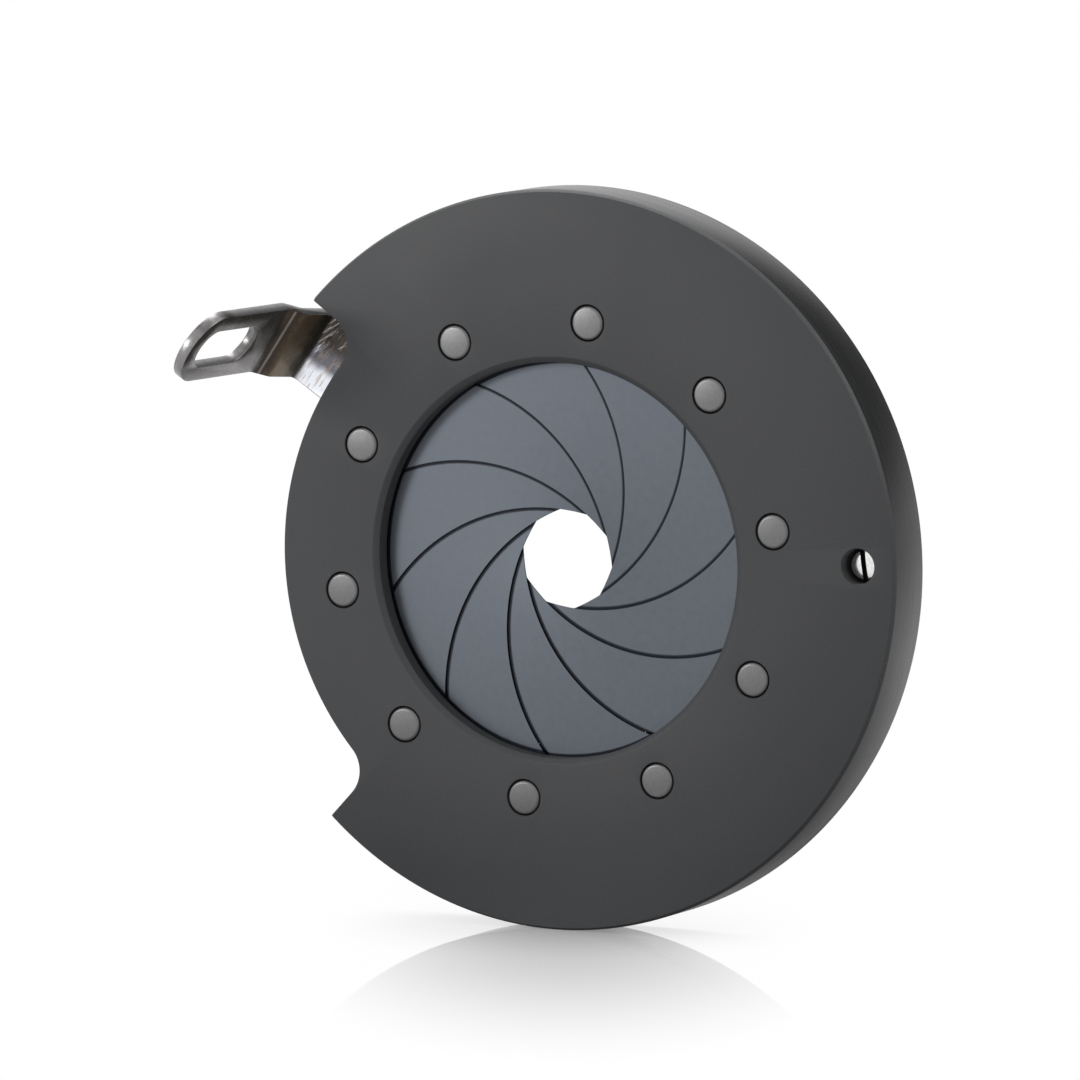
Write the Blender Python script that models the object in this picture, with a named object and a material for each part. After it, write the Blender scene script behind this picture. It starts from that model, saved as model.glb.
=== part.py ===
"""Iris diaphragm with ten blades, drawn as it stands on its rim.

A turned cup holds ten thin steel blades. Each blade turns on a pin in the cup's
front plate, and a second pin at its far end runs in a radial slot of the drive
ring behind the blades. A bent lever on that ring comes out through a window in
the rim. Moving the lever clockwise, as seen from the front, closes the blades.
A snap ring in the cup's bore holds the drive ring in.

Frame: metres, +Z up. The optical axis is the Y axis, the front face lies in the
plane y = 0 and looks towards -Y, and the origin is on the optical axis. Angles
run counter-clockwise from +X as seen from the front.
"""
import math

import bmesh
import bpy
from mathutils import Vector

MM = 0.001

# Cup: front plate, rim and bore
RIM_RADIUS = 25.0 * MM
RIM_WALL = 4.5 * MM
PLATE_THICKNESS = 1.35 * MM
OPENING_CHAMFER_RADIAL = 0.4 * MM
OPENING_CHAMFER_AXIAL = 0.25 * MM
FRONT_TAPER_RADIAL = 0.17 * MM
FRONT_TAPER_AXIAL = 0.31 * MM
REAR_CHAMFER = 0.1 * MM
REAR_LIP = 0.61 * MM          # rim that stands behind the lever

# Lever window in the rim
WINDOW_MIDDLE = math.radians(181.8)
WINDOW_HALF_SPAN = math.radians(45.25)
WINDOW_FILLET = 2.2 * MM
WINDOW_OVERHANG = 0.28 * MM    # outer corner at the lever's end, into the window
WINDOW_UNDERCUT = 0.02 * MM   # how far the window reaches inside the bore
WINDOW_RELIEF = 0.15 * MM     # wider behind the plate, where the lever passes
RELIEF_START = 0.6 * MM       # behind the plate's inner face

# Screw opposite the window
SCREW_ANGLE = WINDOW_MIDDLE - math.pi
SCREW_INSET = 2.7 * MM        # from the rim to the screw's axis
SCREW_HOLE_RADIUS = 1.2 * MM
SCREW_CLEARANCE = 0.15 * MM
SCREW_FRONT_DEPTH = 1.0 * MM
SCREW_REAR_DEPTH = 0.35 * MM
SCREW_CHAMFER = 0.12 * MM
DRIVER_SLOT_WIDTH = 0.4 * MM
DRIVER_SLOT_DEPTH = 0.6 * MM
DRIVER_SLOT_ANGLE = math.radians(104.0)

# Blades
BLADE_COUNT = 10
FIRST_PIVOT_ANGLE = WINDOW_MIDDLE - math.radians(100.15)
PIVOT_INSET = 4.2 * MM        # from the bore's wall to a pivot
OPENING_INSET = 2.925 * MM    # from a pivot to the edge of the opening
BLADE_OVERHANG = 0.375 * MM   # open blades stay this far outside the opening
BLADE_THICKNESS = 0.075 * MM
BLADE_STEP = 0.13 * MM        # how much deeper each next blade lies
PLATE_GAP = 0.08 * MM
APERTURE_RADIUS = 3.25 * MM   # inscribed circle at rest
DRIVE_PIN_INSET = 2.81 * MM   # from the drive ring's edge to a drive pin's axis at rest
ARC_SHARE = 0.1               # share of the rise that follows the arc length

# Pins riveted into the blades
PIVOT_PIN_RADIUS = 1.15 * MM
PIVOT_HOLE_RADIUS = 1.29 * MM
PIN_CHAMFER = 0.2 * MM
PIN_PROUD = 0.04 * MM
DRIVE_PIN_RADIUS = 0.65 * MM
TENON_RADIUS = 0.4 * MM
TENON_CLEARANCE = 0.05 * MM
SHOULDER_GAP = 0.015 * MM

# Drive ring
RING_RATIO = 1.95             # ring turn for one turn of a blade
CLOSING_TURN = math.radians(0.82)   # blade turn left from rest to the stop
RING_GAP = 0.06 * MM
RING_THICKNESS = 0.78 * MM
RING_INNER_MARGIN = 0.325 * MM
RING_RUNNING_GAP = 0.3 * MM
SLOT_CLEARANCE = 0.05 * MM

# Snap ring
SNAP_RING_THICKNESS = 0.6 * MM
SNAP_RING_WIDTH = 1.5 * MM
SNAP_RING_GAP = 0.1 * MM
GROOVE_DEPTH = 0.35 * MM
GROOVE_SIDE_GAP = 0.03 * MM
SNAP_END_MARGIN = math.radians(1.45)
SNAP_EYE_RADIUS = 0.4 * MM
SNAP_EYE_INSET = 1.0 * MM     # from the ring's end to the eye's middle

# Lever
LEVER_STOP_GAP = 0.14 * MM    # left to the window's end when the blades are shut
LEVER_WIDTH = 5.32 * MM
LEVER_THICKNESS = 0.75 * MM
LEVER_SEAT_GAP = 0.06 * MM
LEVER_FOOT_LENGTH = 1.85 * MM  # foot on the ring, inwards from the ring's edge
LEVER_BEND_RADIUS = 0.55 * MM
NECK_INSET = 0.5 * MM         # neck's inner face at its front end, inside the rim's radius
NECK_END = 0.3 * MM
NECK_LEAN = math.radians(8.3)  # neck, outwards on its way forward
TAB_CLEARANCE = 0.28 * MM     # tab's inner face, outside the rim's radius
TAB_START = -1.2 * MM
TAB_SPLAY = 0.17 * MM
TAB_REACH = 12.45 * MM        # forward of the front face
TAB_WALL = 1.19 * MM          # beside the slot
TAB_END_WALL = 1.33 * MM      # in front of the slot
TAB_SLOT_START = 3.6 * MM    # from the front face to the slot's near end

# Rivets that hold the lever on the ring
RIVET_RADIUS = 0.45 * MM
RIVET_HEAD_RADIUS = 0.75 * MM
RIVET_HEAD_HEIGHT = 0.3 * MM
RIVET_CLEARANCE = 0.08 * MM
RIVET_EDGE = 0.9 * MM         # from the ring's edge to a rivet's axis
RIVET_SIDE_EDGE = 0.95 * MM   # from the lever's side to a rivet's axis
RIVET_DOME = ((1.0, 0.0), (0.9, 0.55), (0.55, 0.92))   # shares of radius and height

# Facets
RIM_STEPS = 96
WINDOW_STEPS = 32
SNAP_STEPS = 56
HOLE_STEPS = 20
PIN_STEPS = 20
SMALL_STEPS = 12
FILLET_STEPS = 8
BEND_STEPS = 5
ARC_STEPS = 26
CAP_ANGLES = (25.0, 50.0, 78.0)
ACROSS = (-1.0, -0.36, 0.32, 1.0)

SMOOTH_ANGLE = math.radians(32.0)
CORNER_MERGE = 0.004 * MM
FULL_TURN = 2.0 * math.pi
BLADE_PITCH = FULL_TURN / BLADE_COUNT
CUT_MARGIN = 1.0 * MM
SLOT_SAMPLES = 60


# Values worked out from the driving dimensions

BORE_RADIUS = RIM_RADIUS - RIM_WALL
SCREW_CIRCLE_RADIUS = RIM_RADIUS - SCREW_INSET
PIVOT_CIRCLE_RADIUS = BORE_RADIUS - PIVOT_INSET
OPENING_RADIUS = PIVOT_CIRCLE_RADIUS - OPENING_INSET
BLADE_INNER_RADIUS = OPENING_RADIUS + BLADE_OVERHANG
BLADE_HALF_WIDTH = PIVOT_CIRCLE_RADIUS - BLADE_INNER_RADIUS
REST_TURN = 2.0 * math.asin((BLADE_INNER_RADIUS - APERTURE_RADIUS) / (2.0 * PIVOT_CIRCLE_RADIUS))
RING_INNER_RADIUS = OPENING_RADIUS + RING_INNER_MARGIN
RING_OUTER_RADIUS = BORE_RADIUS - RING_RUNNING_GAP
LEVER_STOP_ANGLE = (math.asin(LEVER_WIDTH / (2.0 * BORE_RADIUS)) + RING_RATIO * CLOSING_TURN
                    + LEVER_STOP_GAP / BORE_RADIUS)
LEVER_ANGLE = WINDOW_MIDDLE - WINDOW_HALF_SPAN + LEVER_STOP_ANGLE
RIVET_OFFSET = LEVER_WIDTH / 2.0 - RIVET_SIDE_EDGE
WINDOW_RADIUS = BORE_RADIUS - WINDOW_UNDERCUT


def polar(radius, angle, depth=0.0):
    """Point at a radius and angle about the optical axis, at a depth behind the front face."""
    return Vector((radius * math.cos(angle), depth, radius * math.sin(angle)))


def arc_span():
    """Angle of the blade's arc between its pins that brings the drive pin to its radius at rest."""
    reach = (RING_OUTER_RADIUS - DRIVE_PIN_INSET) / PIVOT_CIRCLE_RADIUS
    half_sine = math.sin(REST_TURN / 2.0)
    return math.pi - REST_TURN / 2.0 + math.asin((reach * reach - 1.0) / (4.0 * half_sine) - half_sine)


# The blade's own arc, drawn for a blade whose pivot is at angle 0

ARC_SPAN = arc_span()
PIN_SPACING = 2.0 * PIVOT_CIRCLE_RADIUS * math.sin(ARC_SPAN / 2.0)
PIVOT = polar(PIVOT_CIRCLE_RADIUS, 0.0)
ARC_CENTRE = PIVOT + polar(PIVOT_CIRCLE_RADIUS, math.pi - REST_TURN)
ARC_START = -REST_TURN


def arc_point(turn, radius):
    """Point of the blade at a clockwise turn from its pivot, on a radius of its own arc."""
    return ARC_CENTRE + polar(radius, ARC_START - turn)


def clockwise_angle(point):
    """Clockwise angle about the optical axis from the pivot to a point, from -60 to 300 degrees."""
    angle = -math.atan2(point.z, point.x)
    if angle < -math.pi / 3.0:
        angle += FULL_TURN
    return angle


END_ANGLE = clockwise_angle(arc_point(ARC_SPAN, PIVOT_CIRCLE_RADIUS))


def blade_depth(turn, point):
    """Depth of the blade's front face, rising like a shallow screw so that ten blades stack."""
    along = turn * END_ANGLE / ARC_SPAN
    mixed = (1.0 - ARC_SHARE) * clockwise_angle(point) + ARC_SHARE * along
    return PLATE_THICKNESS + PLATE_GAP + BLADE_STEP * mixed / BLADE_PITCH


def blade_rows():
    """Rows of front-face points from the pivot end to the drive end."""
    caps = [(BLADE_HALF_WIDTH * math.sin(math.radians(a)), math.cos(math.radians(a)))
            for a in CAP_ANGLES]
    stations = [(-reach / PIVOT_CIRCLE_RADIUS, share) for reach, share in reversed(caps)]
    stations += [(ARC_SPAN * step / ARC_STEPS, 1.0) for step in range(ARC_STEPS + 1)]
    stations += [(ARC_SPAN + reach / PIVOT_CIRCLE_RADIUS, share) for reach, share in caps]
    rows = []
    for turn, share in stations:
        row = []
        for across in ACROSS:
            point = arc_point(turn, PIVOT_CIRCLE_RADIUS + across * share * BLADE_HALF_WIDTH)
            point.y = blade_depth(turn, point)
            row.append(point)
        rows.append(row)
    return rows


def drive_pin_place(turn):
    """Radius and angle of the drive pin when its blade has turned clockwise from rest."""
    chord = math.pi + (math.pi - ARC_SPAN) / 2.0 - REST_TURN - turn
    point = PIVOT + polar(PIN_SPACING, chord)
    return point.xz.length, clockwise_angle(point)


BLADE_ROWS = blade_rows()
STACK_REAR = max(point.y for row in BLADE_ROWS for point in row) + BLADE_THICKNESS
RING_FRONT = STACK_REAR + RING_GAP
RING_REAR = RING_FRONT + RING_THICKNESS
LEVER_FRONT = RING_REAR + LEVER_SEAT_GAP
LEVER_REAR = LEVER_FRONT + LEVER_THICKNESS
SNAP_FRONT = RING_REAR + SNAP_RING_GAP
SNAP_REAR = SNAP_FRONT + SNAP_RING_THICKNESS
CUP_DEPTH = LEVER_REAR + REAR_LIP
DRIVE_PIN_RADIUS_AT_REST, DRIVE_PIN_ANGLE_AT_REST = drive_pin_place(0.0)


def finish(name, colour, roughness, metallic):
    """Plain material for one kind of surface."""
    material = bpy.data.materials.new(name)
    material.use_nodes = True
    shader = material.node_tree.nodes["Principled BSDF"]
    shader.inputs["Base Color"].default_value = (*colour, 1.0)
    shader.inputs["Roughness"].default_value = roughness
    shader.inputs["Metallic"].default_value = metallic
    return material


def add_object(name, mesh, material=None):
    """Put a mesh in the scene under its own name, shaded smooth with sharp edges."""
    mesh.shade_smooth()
    mesh.set_sharp_from_angle(angle=SMOOTH_ANGLE)
    item = bpy.data.objects.new(name, mesh)
    bpy.context.scene.collection.objects.link(item)
    if material:
        mesh.materials.append(material)
    return item


def mesh_from(bm, name):
    """Close a bmesh into a mesh with its faces pointing out."""
    bmesh.ops.recalc_face_normals(bm, faces=bm.faces)
    mesh = bpy.data.meshes.new(name)
    bm.to_mesh(mesh)
    bm.free()
    return mesh


def turned(name, profile, steps, seam=0.0):
    """Mesh of revolution about the Y axis from a closed or axis-to-axis (radius, depth) profile."""
    bm = bmesh.new()
    on_axis = profile[0][0] == 0.0 and profile[-1][0] == 0.0
    points = [bm.verts.new(polar(radius, seam, depth)) for radius, depth in profile]
    pairs = list(zip(points, points[1:]))
    if not on_axis:
        pairs.append((points[-1], points[0]))
    edges = [bm.edges.new(pair) for pair in pairs]
    bmesh.ops.spin(bm, geom=points + edges, axis=(0.0, 1.0, 0.0), cent=(0.0, 0.0, 0.0),
                   angle=FULL_TURN, steps=steps, use_duplicate=False)
    bmesh.ops.remove_doubles(bm, verts=bm.verts, dist=CORNER_MERGE)
    return mesh_from(bm, name)


def prism(name, outline, start, sweep):
    """Solid from a flat outline of points, moved to a start and swept along a vector."""
    bm = bmesh.new()
    face = bm.faces.new([bm.verts.new(point + start) for point in outline])
    swept = bmesh.ops.extrude_face_region(bm, geom=[face])
    moved = [item for item in swept["geom"] if isinstance(item, bmesh.types.BMVert)]
    bmesh.ops.translate(bm, verts=moved, vec=sweep)
    return mesh_from(bm, name)


def disc_outline(radius, steps, centre=None):
    """Round outline in the plane of the front face."""
    centre = centre or Vector()
    return [centre + polar(radius, FULL_TURN * step / steps) for step in range(steps)]


def arc_points(radius, start, end, steps):
    """Points of an arc about the optical axis, ends included."""
    return [polar(radius, start + (end - start) * step / steps) for step in range(steps + 1)]


def combine(item, operation, *tools):
    """Cut an object with, or keep it within, solid tools, then apply the result."""
    for tool in tools:
        change = item.modifiers.new(tool.name, "BOOLEAN")
        change.operation = operation
        change.object = tool
    bpy.context.view_layer.update()
    graph = bpy.context.evaluated_depsgraph_get()
    mesh = bpy.data.meshes.new_from_object(item.evaluated_get(graph))
    item.modifiers.clear()
    item.data = mesh
    for tool in tools:
        bpy.data.objects.remove(tool)
    bm = bmesh.new()
    bm.from_mesh(mesh)
    # Corners of two cuts that all but meet are made one corner
    bmesh.ops.remove_doubles(bm, verts=bm.verts, dist=CORNER_MERGE)
    bmesh.ops.dissolve_degenerate(bm, edges=bm.edges, dist=CORNER_MERGE / 2.0)
    bm.to_mesh(mesh)
    bm.free()
    mesh.shade_smooth()
    mesh.set_sharp_from_angle(angle=SMOOTH_ANGLE)


def cylinder_tool(name, radius, centre, front, rear, steps=HOLE_STEPS):
    """Round cutter parallel to the optical axis."""
    outline = disc_outline(radius, steps, centre)
    mesh = prism(name, outline, Vector((0.0, front, 0.0)), Vector((0.0, rear - front, 0.0)))
    return add_object(name, mesh)


def window_tool(name, fillet, widen, overhang, front, rear):
    """Cutter for the lever window: an arc inside, straight ends and filleted inner corners."""
    outer = RIM_RADIUS + CUT_MARGIN
    half = WINDOW_HALF_SPAN + widen / RIM_RADIUS
    centre_radius = WINDOW_RADIUS + fillet
    lean = math.asin(fillet / centre_radius)
    corner_steps = FILLET_STEPS if fillet > 0.0 else 0
    corner = []
    for step in range(corner_steps + 1):
        # From the radial end round to the inner arc
        angle = -half - math.pi / 2.0 - (math.pi / 2.0 - lean) * step / max(corner_steps, 1)
        corner.append(polar(centre_radius, lean - half) + polar(fillet, angle))
    start = overhang / RIM_RADIUS - half
    outline = [polar(outer, start)] + corner
    outline += arc_points(WINDOW_RADIUS, lean - half, half - lean, WINDOW_STEPS)[1:-1]
    outline += [Vector((point.x, 0.0, -point.z)) for point in reversed(corner)]
    outline += arc_points(outer, half, start, WINDOW_STEPS)[:-1]
    mesh = prism(name, outline, Vector((0.0, front, 0.0)), Vector((0.0, rear - front, 0.0)))
    tool = add_object(name, mesh)
    tool.rotation_euler.y = -WINDOW_MIDDLE
    return tool


def make_housing(material):
    """Cup with the front plate, the bore with its groove, pin holes, window and screw hole."""
    groove_radius = BORE_RADIUS + GROOVE_DEPTH
    face_radius = RIM_RADIUS - FRONT_TAPER_RADIAL
    profile = [
        (OPENING_RADIUS + OPENING_CHAMFER_RADIAL, 0.0),
        (face_radius, 0.0),
        (RIM_RADIUS, FRONT_TAPER_AXIAL),
        (RIM_RADIUS, CUP_DEPTH - REAR_CHAMFER),
        (RIM_RADIUS - REAR_CHAMFER, CUP_DEPTH),
        (BORE_RADIUS, CUP_DEPTH),
        (BORE_RADIUS, SNAP_REAR + GROOVE_SIDE_GAP),
        (groove_radius, SNAP_REAR + GROOVE_SIDE_GAP),
        (groove_radius, SNAP_FRONT - GROOVE_SIDE_GAP),
        (BORE_RADIUS, SNAP_FRONT - GROOVE_SIDE_GAP),
        (BORE_RADIUS, PLATE_THICKNESS),
        (OPENING_RADIUS, PLATE_THICKNESS),
        (OPENING_RADIUS, OPENING_CHAMFER_AXIAL),
    ]
    # The screw's axis falls in the middle of a facet
    seam = SCREW_ANGLE + math.pi / RIM_STEPS
    housing = add_object("housing", turned("housing", profile, RIM_STEPS, seam), material)
    rear = CUP_DEPTH + CUT_MARGIN
    relief_front = PLATE_THICKNESS + RELIEF_START
    tools = [
        window_tool("window", WINDOW_FILLET, 0.0, WINDOW_OVERHANG, -CUT_MARGIN, rear),
        window_tool("window_relief", 0.0, WINDOW_RELIEF, 0.0, relief_front, rear),
        cylinder_tool("screw_hole", SCREW_HOLE_RADIUS, polar(SCREW_CIRCLE_RADIUS, SCREW_ANGLE),
                      -CUT_MARGIN, rear),
    ]
    for number in range(BLADE_COUNT):
        centre = polar(PIVOT_CIRCLE_RADIUS, FIRST_PIVOT_ANGLE - BLADE_PITCH * number)
        tools.append(cylinder_tool(f"pin_hole_{number}", PIVOT_HOLE_RADIUS, centre, -CUT_MARGIN,
                                   PLATE_THICKNESS + CUT_MARGIN))
    combine(housing, "DIFFERENCE", *tools)


def make_screw(material):
    """Grub screw in the hole opposite the window, with a driver slot in its front end."""
    radius = SCREW_HOLE_RADIUS - SCREW_CLEARANCE
    rear = CUP_DEPTH - SCREW_REAR_DEPTH
    profile = [
        (0.0, SCREW_FRONT_DEPTH),
        (radius - SCREW_CHAMFER, SCREW_FRONT_DEPTH),
        (radius, SCREW_FRONT_DEPTH + SCREW_CHAMFER),
        (radius, rear - SCREW_CHAMFER),
        (radius - SCREW_CHAMFER, rear),
        (0.0, rear),
    ]
    screw = add_object("grub_screw", turned("grub_screw", profile, PIN_STEPS), material)
    half = DRIVER_SLOT_WIDTH / 2.0
    length = radius + CUT_MARGIN
    outline = [Vector((x, 0.0, z)) for x, z in
               ((-length, -half), (length, -half), (length, half), (-length, half))]
    slot = prism("driver_slot", outline, Vector((0.0, SCREW_FRONT_DEPTH - CUT_MARGIN, 0.0)),
                 Vector((0.0, CUT_MARGIN + DRIVER_SLOT_DEPTH, 0.0)))
    combine(screw, "DIFFERENCE", add_object("driver_slot", slot))
    screw.location = polar(SCREW_CIRCLE_RADIUS, SCREW_ANGLE)
    screw.rotation_euler.y = -DRIVER_SLOT_ANGLE


def blade_mesh():
    """One thin blade at rest, about its pivot, with a hole for each pin's tenon."""
    bm = bmesh.new()
    grid = [[bm.verts.new(point - PIVOT) for point in row] for row in BLADE_ROWS]
    faces = []
    for first, second in zip(grid, grid[1:]):
        for column in range(len(ACROSS) - 1):
            faces.append(bm.faces.new((first[column], first[column + 1],
                                       second[column + 1], second[column])))
    swept = bmesh.ops.extrude_face_region(bm, geom=faces)
    moved = [item for item in swept["geom"] if isinstance(item, bmesh.types.BMVert)]
    bmesh.ops.translate(bm, verts=moved, vec=(0.0, BLADE_THICKNESS, 0.0))
    blank = add_object("blade_blank", mesh_from(bm, "blade_blank"))
    drive_end = arc_point(ARC_SPAN, PIVOT_CIRCLE_RADIUS) - PIVOT
    holes = [cylinder_tool(f"tenon_hole_{number}", TENON_RADIUS + TENON_CLEARANCE, centre, 0.0,
                           RING_FRONT, SMALL_STEPS)
             for number, centre in enumerate((Vector(), drive_end))]
    combine(blank, "DIFFERENCE", *holes)
    mesh = blank.data
    bpy.data.objects.remove(blank)
    return mesh


def pivot_pin_mesh():
    """Pin from just in front of the cup's face to the blade, with a tenon through the blade."""
    blade_front = blade_depth(0.0, arc_point(0.0, PIVOT_CIRCLE_RADIUS))
    shoulder = blade_front - SHOULDER_GAP
    profile = [
        (0.0, -PIN_PROUD),
        (PIVOT_PIN_RADIUS - PIN_CHAMFER, -PIN_PROUD),
        (PIVOT_PIN_RADIUS, PIN_CHAMFER - PIN_PROUD),
        (PIVOT_PIN_RADIUS, shoulder),
        (TENON_RADIUS, shoulder),
        (TENON_RADIUS, blade_front + BLADE_THICKNESS),
        (0.0, blade_front + BLADE_THICKNESS),
    ]
    return turned("pivot_pin", profile, PIN_STEPS)


def drive_pin_mesh():
    """Pin from the blade's far end into the ring's slot, with a tenon through the blade."""
    blade_front = blade_depth(ARC_SPAN, arc_point(ARC_SPAN, PIVOT_CIRCLE_RADIUS))
    shoulder = blade_front + BLADE_THICKNESS + SHOULDER_GAP
    profile = [
        (0.0, blade_front),
        (TENON_RADIUS, blade_front),
        (TENON_RADIUS, shoulder),
        (DRIVE_PIN_RADIUS, shoulder),
        (DRIVE_PIN_RADIUS, RING_REAR),
        (0.0, RING_REAR),
    ]
    return turned("drive_pin", profile, SMALL_STEPS)


def make_blades(steel, pin_steel):
    """Ten blades, each with its two pins, under an empty on its own pivot axis."""
    blade = blade_mesh()
    blade.materials.append(steel)
    pivot_pin = pivot_pin_mesh()
    drive_pin = drive_pin_mesh()
    drive_end = arc_point(ARC_SPAN, PIVOT_CIRCLE_RADIUS) - PIVOT
    for mesh in (pivot_pin, drive_pin):
        mesh.materials.append(pin_steel)
        mesh.shade_smooth()
        mesh.set_sharp_from_angle(angle=SMOOTH_ANGLE)
    for number in range(BLADE_COUNT):
        angle = FIRST_PIVOT_ANGLE - BLADE_PITCH * number
        axis = bpy.data.objects.new(f"blade_axis_{number + 1:02d}", None)
        bpy.context.scene.collection.objects.link(axis)
        axis.location = polar(PIVOT_CIRCLE_RADIUS, angle)
        axis.rotation_euler.y = -angle
        pieces = (("blade", blade, Vector()), ("pivot_pin", pivot_pin, Vector()),
                  ("drive_pin", drive_pin, drive_end))
        for kind, mesh, place in pieces:
            item = bpy.data.objects.new(f"{kind}_{number + 1:02d}", mesh)
            bpy.context.scene.collection.objects.link(item)
            item.parent = axis
            item.location = place


def slot_size():
    """Inner end, outer end and half width of the slot that the drive pin wanders in."""
    first, last = -REST_TURN, CLOSING_TURN
    radii, sideways = [], []
    for sample in range(SLOT_SAMPLES + 1):
        turn = first + (last - first) * sample / SLOT_SAMPLES
        radius, angle = drive_pin_place(turn)
        radii.append(radius)
        sideways.append(radius * (angle - DRIVE_PIN_ANGLE_AT_REST - RING_RATIO * turn))
    room = DRIVE_PIN_RADIUS + SLOT_CLEARANCE
    return min(radii) - room, max(radii) + room, max(abs(s) for s in sideways) + room


def slot_tool(number):
    """Cutter for one radial slot with round ends."""
    inner, outer, half = slot_size()
    outline = []
    for middle, start in ((outer - half, -math.pi / 2.0), (inner + half, math.pi / 2.0)):
        for step in range(SMALL_STEPS // 2 + 1):
            outline.append(polar(middle, 0.0) + polar(half, start + math.pi * step * 2 / SMALL_STEPS))
    mesh = prism(f"slot_{number}", outline, Vector((0.0, RING_FRONT - CUT_MARGIN, 0.0)),
                 Vector((0.0, RING_THICKNESS + 2.0 * CUT_MARGIN, 0.0)))
    tool = add_object(f"slot_{number}", mesh)
    tool.rotation_euler.y = -(FIRST_PIVOT_ANGLE - DRIVE_PIN_ANGLE_AT_REST - BLADE_PITCH * number)
    return tool


def rivet_places():
    """Axes of the two lever rivets, for a lever at angle 0."""
    reach = RING_OUTER_RADIUS - RIVET_EDGE
    return [Vector((reach, 0.0, side * RIVET_OFFSET)) for side in (-1.0, 1.0)]


def lever_turned(item):
    """Turn an object drawn for a lever at angle 0 to the lever's place."""
    item.rotation_euler.y = -LEVER_ANGLE
    return item


def make_drive_ring(material):
    """Flat ring with ten radial slots and two rivet holes."""
    profile = [
        (RING_INNER_RADIUS, RING_FRONT),
        (RING_OUTER_RADIUS, RING_FRONT),
        (RING_OUTER_RADIUS, RING_REAR),
        (RING_INNER_RADIUS, RING_REAR),
    ]
    ring = add_object("drive_ring", turned("drive_ring", profile, RIM_STEPS), material)
    tools = [slot_tool(number) for number in range(BLADE_COUNT)]
    for number, place in enumerate(rivet_places()):
        tools.append(lever_turned(cylinder_tool(f"ring_rivet_hole_{number}",
                                                RIVET_RADIUS + RIVET_CLEARANCE, place,
                                                RING_FRONT - CUT_MARGIN, RING_REAR + CUT_MARGIN,
                                                SMALL_STEPS)))
    combine(ring, "DIFFERENCE", *tools)


def lever_faces():
    """Inner and outer side of the bent strip as (radius, depth) points, foot to tab end."""
    neck_radius = RIM_RADIUS - NECK_INSET
    tab_radius = RIM_RADIUS + TAB_CLEARANCE
    bend = LEVER_BEND_RADIUS
    bend_end = LEVER_FRONT - bend + bend * math.sin(NECK_LEAN)
    bend_middle = (neck_radius - math.tan(NECK_LEAN) * (bend_end - NECK_END)
                   - bend * math.cos(NECK_LEAN))
    inner = [Vector((RING_OUTER_RADIUS - LEVER_FOOT_LENGTH, LEVER_FRONT))]
    for step in range(BEND_STEPS + 1):
        angle = math.pi / 2.0 + (NECK_LEAN - math.pi / 2.0) * step / BEND_STEPS
        inner.append(Vector((bend_middle + bend * math.cos(angle),
                             LEVER_FRONT - bend + bend * math.sin(angle))))
    inner += [Vector((neck_radius, NECK_END)), Vector((tab_radius, TAB_START)),
              Vector((tab_radius + TAB_SPLAY, -TAB_REACH))]
    outer = []
    for place, point in enumerate(inner):
        before = inner[max(place - 1, 0)]
        after = inner[min(place + 1, len(inner) - 1)]
        first = (point - before).normalized() if place > 0 else (after - point).normalized()
        second = (after - point).normalized() if after != point else first
        normal = Vector((-(first + second).y, (first + second).x)).normalized()
        mitre = LEVER_THICKNESS / normal.dot(Vector((-first.y, first.x)))
        outer.append(point + normal * mitre)
    return inner, outer


def make_lever(material):
    """Strip bent twice, cut to a round-ended tab with a slot along it."""
    inner, outer = lever_faces()
    blank_half = LEVER_WIDTH / 2.0 + CUT_MARGIN
    side = [Vector((point.x, point.y, -blank_half)) for point in inner + outer[::-1]]
    mesh = prism("lever", side, Vector(), Vector((0.0, 0.0, 2.0 * blank_half)))
    lever = add_object("lever", mesh, material)
    combine(lever, "INTERSECT", lever_outline_tool())
    holes = [stadium_tool("tab_slot", LEVER_WIDTH / 2.0 - TAB_WALL, -TAB_SLOT_START,
                          TAB_END_WALL - TAB_REACH, RIM_RADIUS - NECK_INSET)]
    for number, place in enumerate(rivet_places()):
        holes.append(cylinder_tool(f"lever_rivet_hole_{number}", RIVET_RADIUS + RIVET_CLEARANCE,
                                   place, LEVER_FRONT - CUT_MARGIN, LEVER_REAR + CUT_MARGIN,
                                   SMALL_STEPS))
    combine(lever, "DIFFERENCE", *holes)
    lever_turned(lever)


def stadium_tool(name, radius, rear, front, start_radius):
    """Round-ended tool across the tab, from one radius outwards, between two depths."""
    outline = []
    steps = HOLE_STEPS // 2
    for middle, start in ((rear - radius, 0.0), (front + radius, math.pi)):
        for step in range(steps + 1):
            angle = start + math.pi * step / steps
            outline.append(Vector((0.0, middle + radius * math.sin(angle),
                                   radius * math.cos(angle))))
    length = RIM_RADIUS + TAB_CLEARANCE + LEVER_THICKNESS + CUT_MARGIN - start_radius
    mesh = prism(name, outline, Vector((start_radius, 0.0, 0.0)), Vector((length, 0.0, 0.0)))
    return add_object(name, mesh)


def lever_outline_tool():
    """Solid that the lever's blank is kept within: straight sides and a round tab end."""
    half = LEVER_WIDTH / 2.0
    return stadium_tool("lever_outline", half, LEVER_REAR + half + CUT_MARGIN, -TAB_REACH,
                        RING_INNER_RADIUS)


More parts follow.
